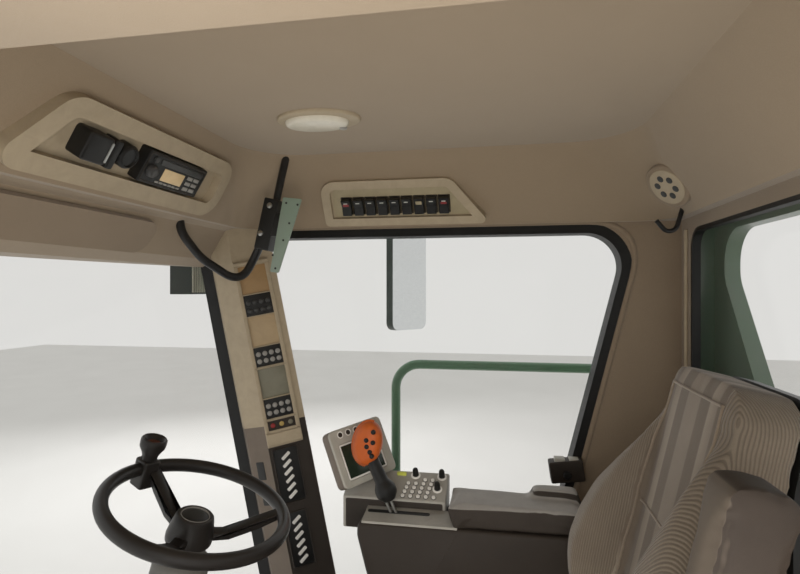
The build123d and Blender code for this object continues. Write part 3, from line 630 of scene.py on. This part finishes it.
# Seat: the back with its two side bolsters, cushions, armrest
back_face = place_at((150, -455, 640), (-1, 0, 0), (0, cos(RECLINE), sin(RECLINE)))
back_half = [(0, 235), (250, 246), (470, 235), (610, 168), (755, 158)]
ridge = [
    (172, -20), (190, 22), (210, 52), (236, 76), (262, 90), (298, 101), (335, 105), (398, 97), (459, 80),
    (520, 58), (577, 37), (633, 14), (672, -3), (712, -20),
]


def bolster_edge(up):
    """Half the width of the centre panel at a height on the back, in millimetres."""
    return 1000 * (BOLSTER_EDGE - (up - 150) / 1000 * BOLSTER_SLANT)


def bolsters(bm):
    """The two side bolsters, joined to the back's pad by the remesh."""
    for side in (-1, 1):
        rings = []
        for step in range(37):
            up = 172 + 15 * step
            front = between(up, ridge)
            inner = bolster_edge(up)
            outer = between(up, back_half) - 1
            corners = rounded([(inner, -50), (outer, -50), (outer, front), (inner, front)], [1, 1, 30, 24], 4)
            rings.append([back_face @ (Vector((side * x, up, height)) / 1000) for x, height in corners])
        skin(bm, rings)


soft("seat_back", "seat_back", looks["seat_fabric"], voxel=0.008, shrink=0.006, swell=0.008, extra=bolsters)
soft("seat_cushion", "seat", looks["seat_fabric"], voxel=0.007, shrink=0.008, swell=0.016)
soft("left_armrest", "armrest", arm_vinyl_lit_front, voxel=0.005, shrink=0.004, swell=0.006)
soft("trainer_cushion", "cab", looks["seat_fabric"], voxel=0.007, shrink=0.006, swell=0.012)
soft("trainer_back", "trainer_back", looks["seat_fabric"], voxel=0.007, shrink=0.005, swell=0.009)

# Console body
CONSOLE_X0, CONSOLE_X1, KEYPAD_X = 452, 600, 524
side_on = place_at((0, 0, 0), (0, 1, 0), (1, 0, 0))
body_outline = rounded(
    [(55, 930), (57, 898), (32, 804), (-50, 660), (-500, 660), (-545, 800), (-545, 932), (-190, 932)],
    [20, 60, 80, 30, 30, 60, 14, 1],
)
low_outline = rounded(
    [
        (40, 884), (50, 860), (32, 804), (-50, 660), (-500, 660), (-545, 800), (-545, 932), (-158, 932),
        (-158, 884),
    ],
    [8, 40, 80, 30, 30, 60, 14, 1, 1],
)
slabs(
    "console_body", side_on, [body_outline], CONSOLE_X0, KEYPAD_X, 2, "seat", "dark_plastic", low_edge=9,
    replaces="console",
)
slabs("console_side", side_on, [low_outline], KEYPAD_X - 1, CONSOLE_X1, 8, "seat", "dark_plastic")

# Armrest pad on the console, with its raised rear part
pad_bm = bmesh.new()
pad_outline = rounded([(-176, 932), (-158, 988), (-497, 988), (-497, 932)], [2, 10, 26, 10])
skin(
    pad_bm,
    [
        ring_at(side_on, inset(pad_outline, move), x)
        for x, move in ((446, 8), (449, 2), (455, 0), (582, 0), (588, 2), (590, 8))
    ],
)
bump_outline = rounded([(-350, 975), (-372, 1010), (-480, 1010), (-492, 975)], [2, 14, 14, 2])
skin(
    pad_bm,
    [ring_at(side_on, inset(bump_outline, move), x) for x, move in ((528, 6), (534, 0), (584, 0), (590, 6))],
)
pad_mesh = bpy.data.meshes.new("pad_build")
pad_bm.to_mesh(pad_mesh)
pad_bm.free()
soft("armrest_pad", "seat", pad_vinyl_lit_top, voxel=0.005, shrink=0.003, swell=0.005, source=pad_mesh)
settle()

# Gate plate with its slot, and the keypad unit
front_on = place_at((0, 0, 0), (1, 0, 0), (0, -1, 0))
gate_section = rounded([(454, 929), (523, 929), (523, 946), (454, 935)], 1)
slabs("gate_plate", front_on, [gate_section], -44, 190, 2, "seat", "grey_plastic")
gate_top = place_at((488.5, 0, 940.5), (0, -1, 0), (-11, 0, 69))
slabs("gate_slot", gate_top, [box_outline(-39, 119, 5, 19, 7)], -0.4, 0.4, 0.2, "seat", "black_plastic")

keypad_section = rounded([(524, 884), (524, 966), (608, 1010), (638, 1000), (628, 884)], 6)
slabs(
    "keypad_unit", front_on, [keypad_section], -112, 156, 5, "seat", "grey_plastic", low_edge=5,
    replaces="keypad_panel",
)
keypad_top = place_at((524, 0, 966), (0, -1, 0), (-0.464, 0, 0.886))
slabs(
    "keypad_apron", place_at((524, 0, 925), (0, -1, 0), (-1, 0, 0)), [box_outline(-104, 148, -38, 36, 5)],
    -1, 1.2, 1, "seat", "dark_plastic",
)
knob_spots = [(69, 82), (139, 82), (131, 40)]
key_grid = [(44 + column * 20 + row * 3, 12 + row * 14) for row in range(5) for column in range(5)]
KEY_CLEAR = 14
key_spots = [
    (x, y) for x, y in key_grid
    if all(abs(x - knob_x) > KEY_CLEAR or abs(y - knob_y) > KEY_CLEAR for knob_x, knob_y in knob_spots)
]
ring_slab(
    "keypad_key_rings", keypad_top, [(disc(x, y, 6.6), disc(x, y, 5.3)) for x, y in key_spots], -0.5, 1.2,
    0.4, "seat", "dark_plastic",
)
slabs(
    "keypad_keys", keypad_top, [disc(x, y, 5) for x, y in key_spots], -0.5, 4, 1.2, "seat", "grey_plastic",
    louvre_pale,
)
turned(
    "keypad_collars", keypad_top, [(12.5, -0.5), (12.5, 2), (11, 3.2), (6, 3.2)], "seat", "grey_plastic",
    louvre_pale, at=knob_spots,
)
turned(
    "keypad_knobs", keypad_top, [(8.5, 3), (8, 6), (7.4, 20), (6, 23.5), (3, 24.6)], "seat", "black_plastic",
    at=knob_spots,
)
slabs(
    "keypad_lever", keypad_top, [box_outline(18, 44, 79, 88, 4)], -0.5, 7, 2, "seat", "orange_plastic",
    lever_yellow,
)

# Control lever: rods, stem, grip and its buttons
LEVER = Vector((500, -34, 938))
lever_lean = Vector((0, 0.42, 0.907)).normalized()
lever_frame = place_at(LEVER, (1, 0, 0), lever_lean)
turned(
    "lever_body", lever_frame,
    [(12, 37), (15, 38), (17, 41), (25, 50), (27, 56), (27, 70), (25, 76), (18, 88), (17, 94), (16, 145)],
    "seat", "black_plastic", replaces="control_lever",
)
tubes(
    "lever_rods",
    [[LEVER + Vector((0, step, -12)), LEVER + Vector((0, step, -12)) + lever_lean * 60] for step in (-7, 7)],
    3.5, "seat", "bright_steel",
)
GRIP_Y, GRIP_Z = 40, 1112
GRIP_R, GRIP_R_UP, GRIP_TURN, GRIP_STEPS = 38, 57, radians(12), 44
head_at = place_at((502, GRIP_Y, GRIP_Z), (0, 1, 0), (1, 0, 0))
head_outline = disc(0, 0, GRIP_R, GRIP_R_UP, GRIP_TURN, GRIP_STEPS)
slabs(
    "lever_grip", head_at, [head_outline], -24, 24, 20, "seat", "orange_plastic", low_edge=20,
    replaces="lever_head",
)
grip_edge = disc(0, 0, GRIP_R - 0.5, GRIP_R_UP - 0.5, GRIP_TURN, GRIP_STEPS)
grip_half = [(head_at @ (Vector((x, y, 0)) / 1000)) * 1000 for x, y in grip_edge[-12:] + grip_edge[:13]]
tubes("lever_grip_rim", [grip_half], 4.5, "seat", "orange_plastic")
lever_face = place_at((478, GRIP_Y, GRIP_Z), (0, -1, 0), (-1, 0, 0))
grip_buttons = [(20, 34), (2, 13), (19, 8), (11, -16), (3, -3), (16, -26)]
turned(
    "lever_grip_buttons", lever_face, [(6, -3), (6, 1.5), (5, 2.6), (2, 3)], "seat", "black_plastic",
    steps=20, at=grip_buttons,
)

# Monitor on its stalk
monitor_face = place_at((562, 70, 1072), (0.7338, -0.6793, 0), (-0.62, -0.67, 0.4))
MONITOR_TURN = 8
monitor_outline = turned_by(box_outline(-85, 85, -75, 75, 16), MONITOR_TURN, (3, 0))
screen_outline = turned_by(box_outline(-61, 61, -46, 46, 5), MONITOR_TURN, (2, -12))
slabs(
    "monitor_body", monitor_face, [monitor_outline], -42, -3, 1, "seat", "grey_plastic", cover_grey,
    low_edge=8, replaces="monitor",
)
ring_slab(
    "monitor_bezel", monitor_face, [(monitor_outline, screen_outline)], -6, 1, 3, "seat", "grey_plastic",
    bezel_pale,
)
slabs(
    "monitor_screen", monitor_face, [inset(screen_outline, 3)], -4, -2, 0.4, "seat", "black_plastic",
    screen_dark,
)
ring_slab(
    "monitor_inner_frame", monitor_face, [(screen_outline, inset(screen_outline, 4))], -4, -0.6, 0.8, "seat",
    "grey_plastic", louvre_pale,
)
monitor_keys = turned_by([(-50 + 25 * i, 59) for i in range(5)], MONITOR_TURN, (2, 0))
ring_slab(
    "monitor_key_rings", monitor_face, [(disc(x, y, 9), disc(x, y, 6.6)) for x, y in monitor_keys], 0, 2,
    0.6, "seat", "grey_plastic", louvre_pale,
)
slabs(
    "monitor_keys", monitor_face, [disc(x, y, 6.2) for x, y in monitor_keys], 0, 2.4, 1, "seat",
    "black_plastic", looks["dark_plastic"],
)
tubes("monitor_stalk", [[(598, 94, 985), (598, 94, 1050)]], 14, "seat", "dark_plastic")


# Seams that lie on the finished cushions
def on_cushion(piece):
    """A finished cushion's surface, for rays."""
    mesh = piece.data
    return BVHTree.FromPolygons([v.co for v in mesh.vertices], [p.vertices for p in mesh.polygons])


cover_of = {node: piece for node, piece, body, swell in cushions}
back_tree = on_cushion(cover_of["seat_back"])
back_normal = back_face.to_3x3() @ Vector((0, 0, 1))


def on_back(x, up):
    """A point of the upholstery seen from ahead, in millimetres."""
    start = back_face @ (Vector((x, up, 300)) / 1000)
    hit = back_tree.ray_cast(start, -back_normal)[0]
    return (hit + back_normal * 0.0005) * 1000 if hit else None


seams = []
for side in (-1, 1):
    rising = [on_back(side * (bolster_edge(up) - 2), up) for up in range(60, 716, 12)]
    seams.append([point for point in rising if point])
for up in (150, 470, 706):
    level = [on_back(x, up) for x in range(-138 + (up - 150) // 18, 139 - (up - 150) // 18, 8)]
    seams.append([point for point in level if point])
tubes("back_seams", seams, 2.6, "seat_back", "seat_fabric", seam_thread, sides=8)

cushion_tree = on_cushion(cover_of["seat_cushion"])


def on_top(x, y):
    """A point of the seat cushion seen from above, in millimetres."""
    hit = cushion_tree.ray_cast(Vector((x / 1000, y / 1000, 0.9)), Vector((0, 0, -1)))[0]
    return hit * 1000 if hit else None


runs = [[on_top(x, y) for y in range(-425, 10, 12)] for x in (10, 290)]
runs.append([on_top(x, -60) for x in range(-80, 385, 12)])
cushion_seams = [[point for point in run if point] for run in runs]
tubes("cushion_seams", cushion_seams, 2.4, "seat", "seat_fabric", seam_thread, sides=8)

# Steering wheel, with dished spokes and a bare badge disc
WHEEL_TILT = radians(17.5)
WHEEL_AT = Vector((150, 299, 1070))
WHEEL_R = 174
RIM_HALF_W, RIM_HALF_H = 13, 14.5
RIM_STEPS, RIM_SIDES = 120, 20
wheel_axis = Vector((0, -sin(WHEEL_TILT), cos(WHEEL_TILT)))
wheel_ahead = Vector((0, cos(WHEEL_TILT), sin(WHEEL_TILT)))
wheel_place = place_at(WHEEL_AT, (1, 0, 0), wheel_axis)
rim_bm = bmesh.new()
rim_rings = []
for step in range(RIM_STEPS):
    angle = 2 * pi * step / RIM_STEPS
    ring = []
    for side in range(RIM_SIDES):
        around = 2 * pi * side / RIM_SIDES
        reach = WHEEL_R + RIM_HALF_W * cos(around)
        point = Vector((reach * cos(angle), reach * sin(angle), RIM_HALF_H * sin(around)))
        ring.append(wheel_place @ (point / 1000))
    rim_rings.append(ring)
skin(rim_bm, rim_rings, loop=True)
spoke_side = [
    (30, -66), (30, -47), (70, -45), (120, -18), (WHEEL_R - 2, 7), (WHEEL_R - 2, -7), (130, -34), (75, -60),
]
spoke_outline = rounded(spoke_side, 5)
spoke_levels = [(-14, 4), (-13, 1.6), (-10, 0), (10, 0), (13, 1.6), (14, 4)]
for i in range(3):
    angle = radians(66 + 120 * i)
    outwards = Vector((1, 0, 0)) * cos(angle) + wheel_ahead * sin(angle)
    spoke_place = place_at(WHEEL_AT, outwards, outwards.cross(wheel_axis))
    skin(rim_bm, [ring_at(spoke_place, inset(spoke_outline, move), height) for height, move in spoke_levels])
add_piece(
    "wheel_rim", finish_mesh("wheel_rim", rim_bm, 44), "wheel", "wheel_plastic", replaces="steering_wheel",
)
turned(
    "wheel_hub", wheel_place,
    [
        (42, -72), (45, -70), (46, -60), (44, -48), (40, -30), (37, -19), (34, -16), (29, -16), (28.4, -17),
        (28, -20), (10, -20),
    ],
    "wheel", "wheel_plastic",
)
turned(
    "wheel_badge_disc", wheel_place, [(26.5, -21), (26.5, -18.4), (24, -17.2), (16, -16.2), (6, -15.8)],
    "wheel", "wheel_plastic", looks["black_plastic"],
)
ring_slab(
    "wheel_badge_ring", wheel_place, [(disc(0, 0, 28.2, steps=44), disc(0, 0, 26.8, steps=44))], -20, -15.6,
    0.5, "wheel", "grey_plastic", key_grey,
)

# Spinner knob with its clamp, and the column's shroud
knob_out = Vector((60, WHEEL_R - 8, 0)).normalized()
knob_dir = Vector((1, 0, 0)) * knob_out.x + wheel_ahead * knob_out.y
knob_place = place_at(WHEEL_AT + knob_dir * WHEEL_R, knob_dir, wheel_axis)
turned(
    "knob_turned", knob_place,
    [
        (16, 16), (16, 29), (20, 38), (26, 48), (27, 58), (26.6, 65), (24, 68), (21, 67), (17, 60), (15, 57),
        (4, 56),
    ],
    "wheel", "wheel_plastic", replaces="spinner_knob",
)
slabs(
    "knob_clamp", knob_place, [box_outline(-20, 20, -19, 19, 8)], -40, 20, 4, "wheel", "wheel_plastic",
    low_edge=4,
)
turned(
    "knob_dish", knob_place, [(15.6, 56.5), (14.5, 58), (8, 57.4), (2, 57.2)], "wheel", "wheel_plastic",
    knob_brown,
)
turned(
    "column_shroud", wheel_place,
    [
        (36, -73), (38, -74), (39, -98), (50, -106), (54, -112), (55, -122), (52, -255), (42, -292),
        (38, -320), (36, -430),
    ],
    "column", "dark_plastic", column_grey, replaces="steering_column",
)
tubes("column_pivot", [[(120, 440.3, 621.8), (180, 440.3, 621.8)]], 45, "column", "dark_plastic", sides=32)

# Corner post: a stack of small display modules on the trim
RAKE_SLOPE = 0.2085
RAKE = atan(RAKE_SLOPE)
POST_AT = (785, 450.6, 1064.1)
FACE_X, FACE_Y = 0.4327, 0.9015
module_face = place_at(
    POST_AT, (FACE_X, -FACE_Y * cos(RAKE), FACE_Y * sin(RAKE)),
    (-FACE_Y, -FACE_X * cos(RAKE), FACE_X * sin(RAKE)),
)
FACE_W, RAISE = 112, 9
rails = [box_outline(0, 13, -70, 526, 3), box_outline(FACE_W - 13, FACE_W, -70, 526, 3)]
crossings = [(-70, -18), (12, 20), (82, 86), (180, 188), (250, 254), (350, 353), (421, 425), (516, 526)]
rails += [box_outline(4, FACE_W - 4, low, high, 1.5) for low, high in crossings]
slabs("module_frame", module_face, rails, -2, RAISE, 2.5, "cab", "beige_plastic")
slabs(
    "module_ledge", module_face, [box_outline(0, FACE_W, -64, -26, 6)], RAISE - 3, RAISE + 9, 4, "cab",
    "beige_plastic",
)
slabs(
    "module_top_ledge", module_face, [box_outline(0, FACE_W, 519, 530, 3)], RAISE - 3, RAISE + 10, 3, "cab",
    "beige_plastic",
)
module_rows = [(86, 94, 20, 62, window_grey), (254, 96, 188, 62, window_sand), (425, 91, 353, 68, window_tan)]
for number, (window, window_h, keys, keys_h, look) in enumerate(module_rows):
    slabs(
        "module_window_%d" % number, module_face,
        [box_outline(12, FACE_W - 12, window, window + window_h, 4)], -1, 1, 0.5, "cab", "beige_plastic",
        look,
    )
slabs(
    "module_keypads", module_face,
    [
        box_outline(12, FACE_W - 12, keys, keys + keys_h, 3)
        for window, window_h, keys, keys_h, look in module_rows
    ],
    -1, 5, 1, "cab", "black_plastic",
)
for name, rows, look in (
    ("module_keys", module_rows[:2], key_grey), ("module_keys_top", module_rows[2:], key_dark),
):
    spots = [
        (25.5 + column * 20.5, keys + 17 + row * (keys_h - 16) / 2)
        for window, window_h, keys, keys_h, glass_look in rows for row in range(2) for column in range(4)
    ]
    turned(
        name, module_face, [(8, 4.5), (8, 7), (6.8, 8.4), (3, 9)], "cab", "grey_plastic", look, steps=20,
        at=spots,
    )
slabs("lamp_strip", module_face, [box_outline(12, FACE_W - 12, -18, 12, 2)], -1, 5, 1, "cab", "dark_plastic")
for name, s, look in (
    ("lamp_red", 28, mark_red), ("lamp_amber", 56, mark_amber), ("lamp_grey", 84, window_grey),
):
    turned(
        name, module_face, [(7.5, 4.6), (7.5, 6.4), (6, 7.4), (2, 7.8)], "cab", "lens_clear", look, steps=24,
        at=[(s, -3)],
    )

# The post's dark cover with its vents and slots
dress("corner_cover", [
    (looks["dark_plastic"], lambda at, n: n.z > 0.9),
    (cover_grey, None),
], module_face)
vents = [(-82, 170, 12, 86), (-286, 170, 12, 76)]
slabs(
    "vent_panels", module_face, [box_outline(s0, s1, top - height, top, 8) for top, height, s0, s1 in vents],
    -1, 2, 1, "cab", "black_plastic",
)
ring_slab(
    "vent_frames", module_face,
    [
        (
            box_outline(s0 - 4, s1 + 4, top - height - 4, top + 4, 10),
            box_outline(s0, s1, top - height, top, 8),
        )
        for top, height, s0, s1 in vents
    ],
    -1, 5, 1.5, "cab", "dark_plastic",
)
louvres = [
    turned_by(box_outline(-16, 16, -5, 5, 3), 35, ((s0 + s1) / 2, top - 24 - i * (height - 46) / 5))
    for top, height, s0, s1 in vents for i in range(6)
]
slabs("vent_louvres", module_face, louvres, 1, 6, 1.5, "cab", "grey_plastic", louvre_pale)
cover_front = place_at(
    POST_AT, (-20, -78 * cos(RAKE), 78 * sin(RAKE)), (-78, 20 * cos(RAKE), -20 * sin(RAKE)),
)
slabs(
    "cover_slots", cover_front,
    [box_outline(-60, -30, top - height, top, 4) for top, height in ((-112, 58), (-192, 60))], -1, 1.2, 0.4,
    "cab", "black_plastic",
)

# Display mount: a drop arm with its clamp and plate, braced by a bent tube
tubes(
    "display_arm", [eased([(655, 322, 1888), (652, 344, 1790), (650, 372, 1652)], 30)], 11, "cab",
    "black_plastic",
)
ARM_LEAN = radians(13)
arm_place = place_at((650, 372, 1690), (1, 0, 0), (0, cos(ARM_LEAN), sin(ARM_LEAN)))
slabs(
    "display_clamp", arm_place, [box_outline(-23, 23, -75, 75, 5)], -22, 22, 3, "cab", "black_plastic",
    low_edge=3,
)
plate_place = place_at((624, 0, 0), (0, -1, 0), (-1, 0, 0))
plate_outline = rounded([(-319, 1765), (-263, 1758), (-333, 1549), (-359, 1552)], 5)
slabs("display_plate", plate_place, [plate_outline], -5, 0, 1, "cab", "rail_paint", plate_green)
plate_holes = [(-309, 1748), (-275, 1742), (-342, 1562), (-350, 1600), (-300, 1690), (-318, 1642)]
slabs(
    "display_plate_holes", plate_place, [disc(x, y, 3.2, steps=16) for x, y in plate_holes], -1, 0.3, 0.1,
    "cab", "black_plastic",
)
slabs(
    "display_bridge", plate_place, [box_outline(-366, -302, 1655, 1722, 3)], -16, -5, 1, "cab",
    "black_plastic",
)
turned(
    "display_bolts", plate_place, [(9, -14), (9, -4), (7.5, -1), (3, 0.5)], "cab", "bright_steel", steps=24,
    at=((-361, 1743), (-389, 1664)),
)
brace_points = [
    (537, 588, 1702), (538, 582, 1658), (566, 540, 1590), (633, 482, 1535), (664, 456, 1542),
    (674, 430, 1595), (656, 392, 1655),
]
tubes("display_brace", [eased(brace_points, 26)], 12, "cab", "black_plastic", sides=18)

# Radio and two-way radio in their pod
radio_face = place_at((0, 505, 1700), (1, 0, 0), (0, -0.851, -0.524))
slabs(
    "radio_body", radio_face, [box_outline(206, 430, 44, 120, 6)], -22, 5, 3, "cab", "black_plastic",
    replaces="radio_set",
)
ring_slab(
    "radio_trim", radio_face, [(box_outline(210, 426, 48, 116, 4), box_outline(213, 423, 51, 113, 3))], 3, 6,
    0.8, "cab", "dark_plastic",
)
slabs(
    "radio_display", radio_face, [box_outline(274, 352, 60, 90, 2)], 3, 6, 0.8, "cab", "lens_clear",
    lcd_cream,
)
slabs(
    "radio_slot", radio_face, [box_outline(252, 414, 95, 109, 3)], 3, 7, 1.2, "cab", "black_plastic",
    key_dark,
)
turned_group(
    "radio_knobs", radio_face,
    [
        ((232, 76), [(15, 4), (15, 8), (13, 16), (11, 18), (4, 18.4)]),
        ((232, 103), [(7, 4), (6.6, 9), (3, 10)]),
    ],
    "cab", "black_plastic", key_dark,
)
radio_keys = [box_outline(260 + 16 * i, 272 + 16 * i, 52, 57, 1.5) for i in range(6)]
radio_keys += [
    box_outline(364 + 26 * i, 384 + 26 * i, 54 + 14 * j, 63 + 14 * j, 1.5)
    for i in range(2)
    for j in range(3)
]
slabs("radio_keys", radio_face, radio_keys, 3, 7, 1, "cab", "grey_plastic", key_grey)
slabs("two_way_body", radio_face, [box_outline(30, 92, 54, 112, 10)], -22, 16, 5, "cab", "black_plastic")
slabs("two_way_clip", radio_face, [box_outline(102, 122, 50, 112, 6)], -22, 10, 4, "cab", "black_plastic")
slabs("two_way_band", radio_face, [box_outline(84, 90, 62, 104, 2)], 14, 17.4, 0.8, "cab", "bright_steel")
turned(
    "two_way_knob", radio_face, [(26, -22), (26, 4), (23, 9), (20, 10), (18, 6), (6, 6)], "cab",
    "black_plastic", at=[(154, 86)],
)

# Rocker switches, their frames and their marks
switch_face = place_at((792, 0, 1698), (0, -1, 0), (-0.82, 0, -0.572))
rocker_bm = bmesh.new()
rocker_side = rounded([(-26, -14), (-26, 8), (0, 2), (26, 11), (26, -14)], [1, 3, 4, 3, 1])
rocker_places = [-20 + 37 * (i - 4) for i in range(9)]
rocker_levels = [(-14.5, 1.5), (-13, 0), (13, 0), (14.5, 1.5)]
for x in rocker_places:
    skin(rocker_bm, [
        [
            switch_face @ (Vector((x + across, 64 + v, height)) / 1000)
            for v, height in inset(rocker_side, move)
        ]
        for across, move in rocker_levels
    ])
add_piece("rockers", finish_mesh("rockers", rocker_bm), "cab", "black_plastic", replaces="rocker_switches")
ring_slab(
    "rocker_frames", switch_face,
    [
        (box_outline(x - 18, x + 18, 35, 93, 3), box_outline(x - 15, x + 15, 38, 90, 2))
        for x in rocker_places
    ],
    -13, -9, 1, "cab", "dark_plastic",
)
slabs(
    "switch_panel", switch_face, [rounded([(-214, 28), (214, 28), (136, 122), (-208, 122)], [8, 8, 22, 22])],
    -13, -11, 0.6, "cab", "beige_plastic", pod_olive,
)
mark_places = [switch_face @ place_at((x, 78, 7.6), (1, 0, 0), (0, -0.33, 0.945)) for x in rocker_places]
for name, chosen, shape, look in (
    ("rocker_marks", (0, 1, 2, 3, 4, 5, 7, 8), box_outline(-6, 6, 1, 4, 1), mark_white),
    ("rocker_lenses", (0, 8), box_outline(-9, 9, -9, -1, 2), mark_red),
    ("rocker_lens_olive", (6,), box_outline(-9, 9, -9, 4, 2), pod_olive),
):
    mark_bm = bmesh.new()
    for i in chosen:
        skin(mark_bm, [ring_at(mark_places[i], shape, height) for height in (0, 0.7)])
    add_piece(name, finish_mesh(name, mark_bm), "cab", "lens_clear", look)

# Dome light, speaker and coat hook
dome_base = place_at((343, 115, 1890), (1, 0, 0), (0, 0, -1))
slabs(
    "dome_base", dome_base, [disc(0, 0, 68, 97, 0, 56)], -2, 8, 5, "cab", "beige_plastic",
    replaces="dome_light",
)
slabs("dome_lens", dome_base, [disc(0, -4, 48, 74, 0, 56)], 6, 19, 9, "cab", "lens_clear")
turned(
    "dome_button", dome_base, [(9, 6), (9, 20), (7, 22), (3, 22.4)], "cab", "grey_plastic", key_grey,
    steps=24, at=[(20, 52)],
)

speaker_face = place_at((638, -712, 1766), (0.86, 0, -0.5), (-0.35, 0.72, -0.6))
slabs(
    "speaker_rim", speaker_face, [disc(0, 0, 62, steps=56)], -34, 10, 5, "cab", "beige_plastic",
    looks["trim_felt"],
)
slabs("speaker_grille", speaker_face, [disc(0, 0, 50, steps=48)], 6, 12, 2, "cab", "beige_plastic")
holes = [disc(26 * cos(radians(60 * i)), 26 * sin(radians(60 * i)), 9, steps=20) for i in range(6)]
slabs("speaker_holes", speaker_face, holes, 10, 12.4, 0.2, "cab", "black_plastic")
tubes(
    "coat_hook", [eased([(712, -770, 1734), (714, -750, 1660), (708, -724, 1654), (703, -698, 1684)], 14)],
    6, "cab", "black_plastic",
)

# Right window: the rounded return of its opening, and a socket block at its rear corner
WINDOW_LOW, WINDOW_HIGH, WINDOW_REAR, WINDOW_REAR_SLOPE = 500, 1699, -707, 0.25
POST_FOOT_Y, POST_FOOT_Z, POST_DEPTH = 391, 200, 70


def post_front(z):
    """Where the window's raked front edge is at a height."""
    return POST_FOOT_Y + (z - POST_FOOT_Z) * RAKE_SLOPE - POST_DEPTH


window_outline = rounded(
    [
        (WINDOW_REAR + (WINDOW_HIGH - WINDOW_LOW) * WINDOW_REAR_SLOPE, WINDOW_LOW),
        (post_front(WINDOW_LOW), WINDOW_LOW),
        (post_front(WINDOW_HIGH), WINDOW_HIGH), (WINDOW_REAR, WINDOW_HIGH),
    ],
    [90, 50, 50, 130], 10,
)
tubes(
    "window_return", [[(848, y, z) for y, z in inset(window_outline, -3)]], 9, "cab", "trim_felt", loop=True,
)
slabs(
    "socket_block", place_at((801, -482, 970), (0, -1, 0), (-1, 0, 0)),
    [turned_by(box_outline(-48, 48, -31, 31, 6), 8)], -44, 0, 4, "cab", "dark_plastic",
)
slabs(
    "sockets", place_at((823, 0, 998), (1, 0, 0), (0, 0, 1)),
    [box_outline(-17, 17, y - 15, y + 15, 3) for y in (-504, -462)], -6, 8, 2, "cab", "grey_plastic",
    bezel_pale,
)
turned(
    "socket_knob", place_at((801, -482, 962), (0, -1, 0), (-1, 0, 0)),
    [(12, -1), (12, 6), (9, 10), (4, 10.6)], "cab", "black_plastic",
)

# Mirrors, work lamps and the cab's rear corner bead
dress("sun_visor", [(looks["trim_felt"], None)])
dress("rear_panel", [
    (panel_inner, lambda at, n: n.y > 0.3),
    (looks["cab_paint"], None),
])
lamp_ribs = []
for side in (-1, 1):
    spots = [v.co * 1000 for v in nodes["work_lamps"].data.vertices if v.co.x * side > 0]
    x0, x1 = min(s.x for s in spots), max(s.x for s in spots)
    z0, z1 = min(s.z for s in spots), max(s.z for s in spots)
    lamp_back = min(s.y for s in spots)
    for i in range(7):
        x = x0 + 6 + i * (x1 - x0 - 12) / 6
        lamp_ribs.append([(x, lamp_back - 1, z0 + 6), (x, lamp_back - 1, z1 - 6)])
tubes("work_lamp_ribs", lamp_ribs, 4, "cab", "lens_clear", sides=8)
for node in ("mirror_right", "mirror_left"):
    dress(node, [
        (mirror_glass, lambda at, n: n.y < -0.75),
        (looks["black_plastic"], None),
    ])
tubes(
    "rear_corner_beads", [[(x, -800, 980), (x, -800, 1668)] for x in (-796, 796)], 5, "cab", "beige_plastic",
)

# Floor, world and lamps
FLOOR_HALF = 12
floor_mesh = bpy.data.meshes.new("floor")
floor_corners = [(FLOOR_HALF * x, FLOOR_HALF * y, 0) for x, y in ((-1, -1), (1, -1), (1, 1), (-1, 1))]
floor_mesh.from_pydata(floor_corners, [], [(0, 1, 2, 3)])
floor = bpy.data.objects.new("floor", floor_mesh)
scene.collection.objects.link(floor)
floor_look = new_material("floor", 0.9)
floor_tone = noise(floor_look, 1.5, detail=4)
paint(floor_look, ramp(floor_look, floor_tone, [(0.3, (0.80, 0.79, 0.77)), (0.7, (0.84, 0.83, 0.81))]))
floor_mesh.materials.append(floor_look)

# The world looks white, but lights the cab a little less
WORLD_LIGHT, WORLD_SEEN = 0.85, 1.0
world = bpy.data.worlds.new("studio")
scene.world = world
world.use_nodes = True
world_nodes, world_links = links(world)
background = world_nodes["Background"]
path = world_nodes.new("ShaderNodeLightPath")
seen = path.outputs["Is Camera Ray"]
for ray in ("Is Glossy Ray", "Is Transmission Ray"):
    seen = calc(world, "MAXIMUM", seen, path.outputs[ray])
strength = world_nodes.new("ShaderNodeMapRange")
strength.inputs["To Min"].default_value = WORLD_LIGHT
strength.inputs["To Max"].default_value = WORLD_SEEN
world_links.new(seen, strength.inputs["Value"])
world_links.new(strength.outputs["Result"], background.inputs["Strength"])
background.inputs["Color"].default_value = (1, 0.985, 0.96, 1)


def softbox(name, at, towards, size, watts, colour=(1, 1, 1)):
    """A soft area lamp, itself unseen."""
    data = bpy.data.lights.new(name, "AREA")
    data.shape = "RECTANGLE"
    data.size, data.size_y = size
    data.energy = watts
    data.color = colour
    lamp = bpy.data.objects.new(name, data)
    lamp.location = at
    lamp.rotation_euler = (Vector(towards) - Vector(at)).to_track_quat("-Z", "Y").to_euler()
    lamp.visible_camera = False
    lamp.visible_glossy = False
    scene.collection.objects.link(lamp)


softbox("key", (4.2, 2.4, 3.4), (0, 0, 1.2), (3, 3), 150)
softbox("side", (-4.0, 1.5, 2.6), (0, 0, 1.0), (3, 3), 80)
softbox("inside_fill", (-0.5, -0.35, 0.95), (0.4, 0.1, 1.9), (0.8, 0.8), 6.5, (1, 0.95, 0.88))
softbox("inside_side", (-0.75, -0.1, 1.55), (0.6, 0.1, 1.2), (0.3, 0.5), 2.6, (1, 0.96, 0.9))
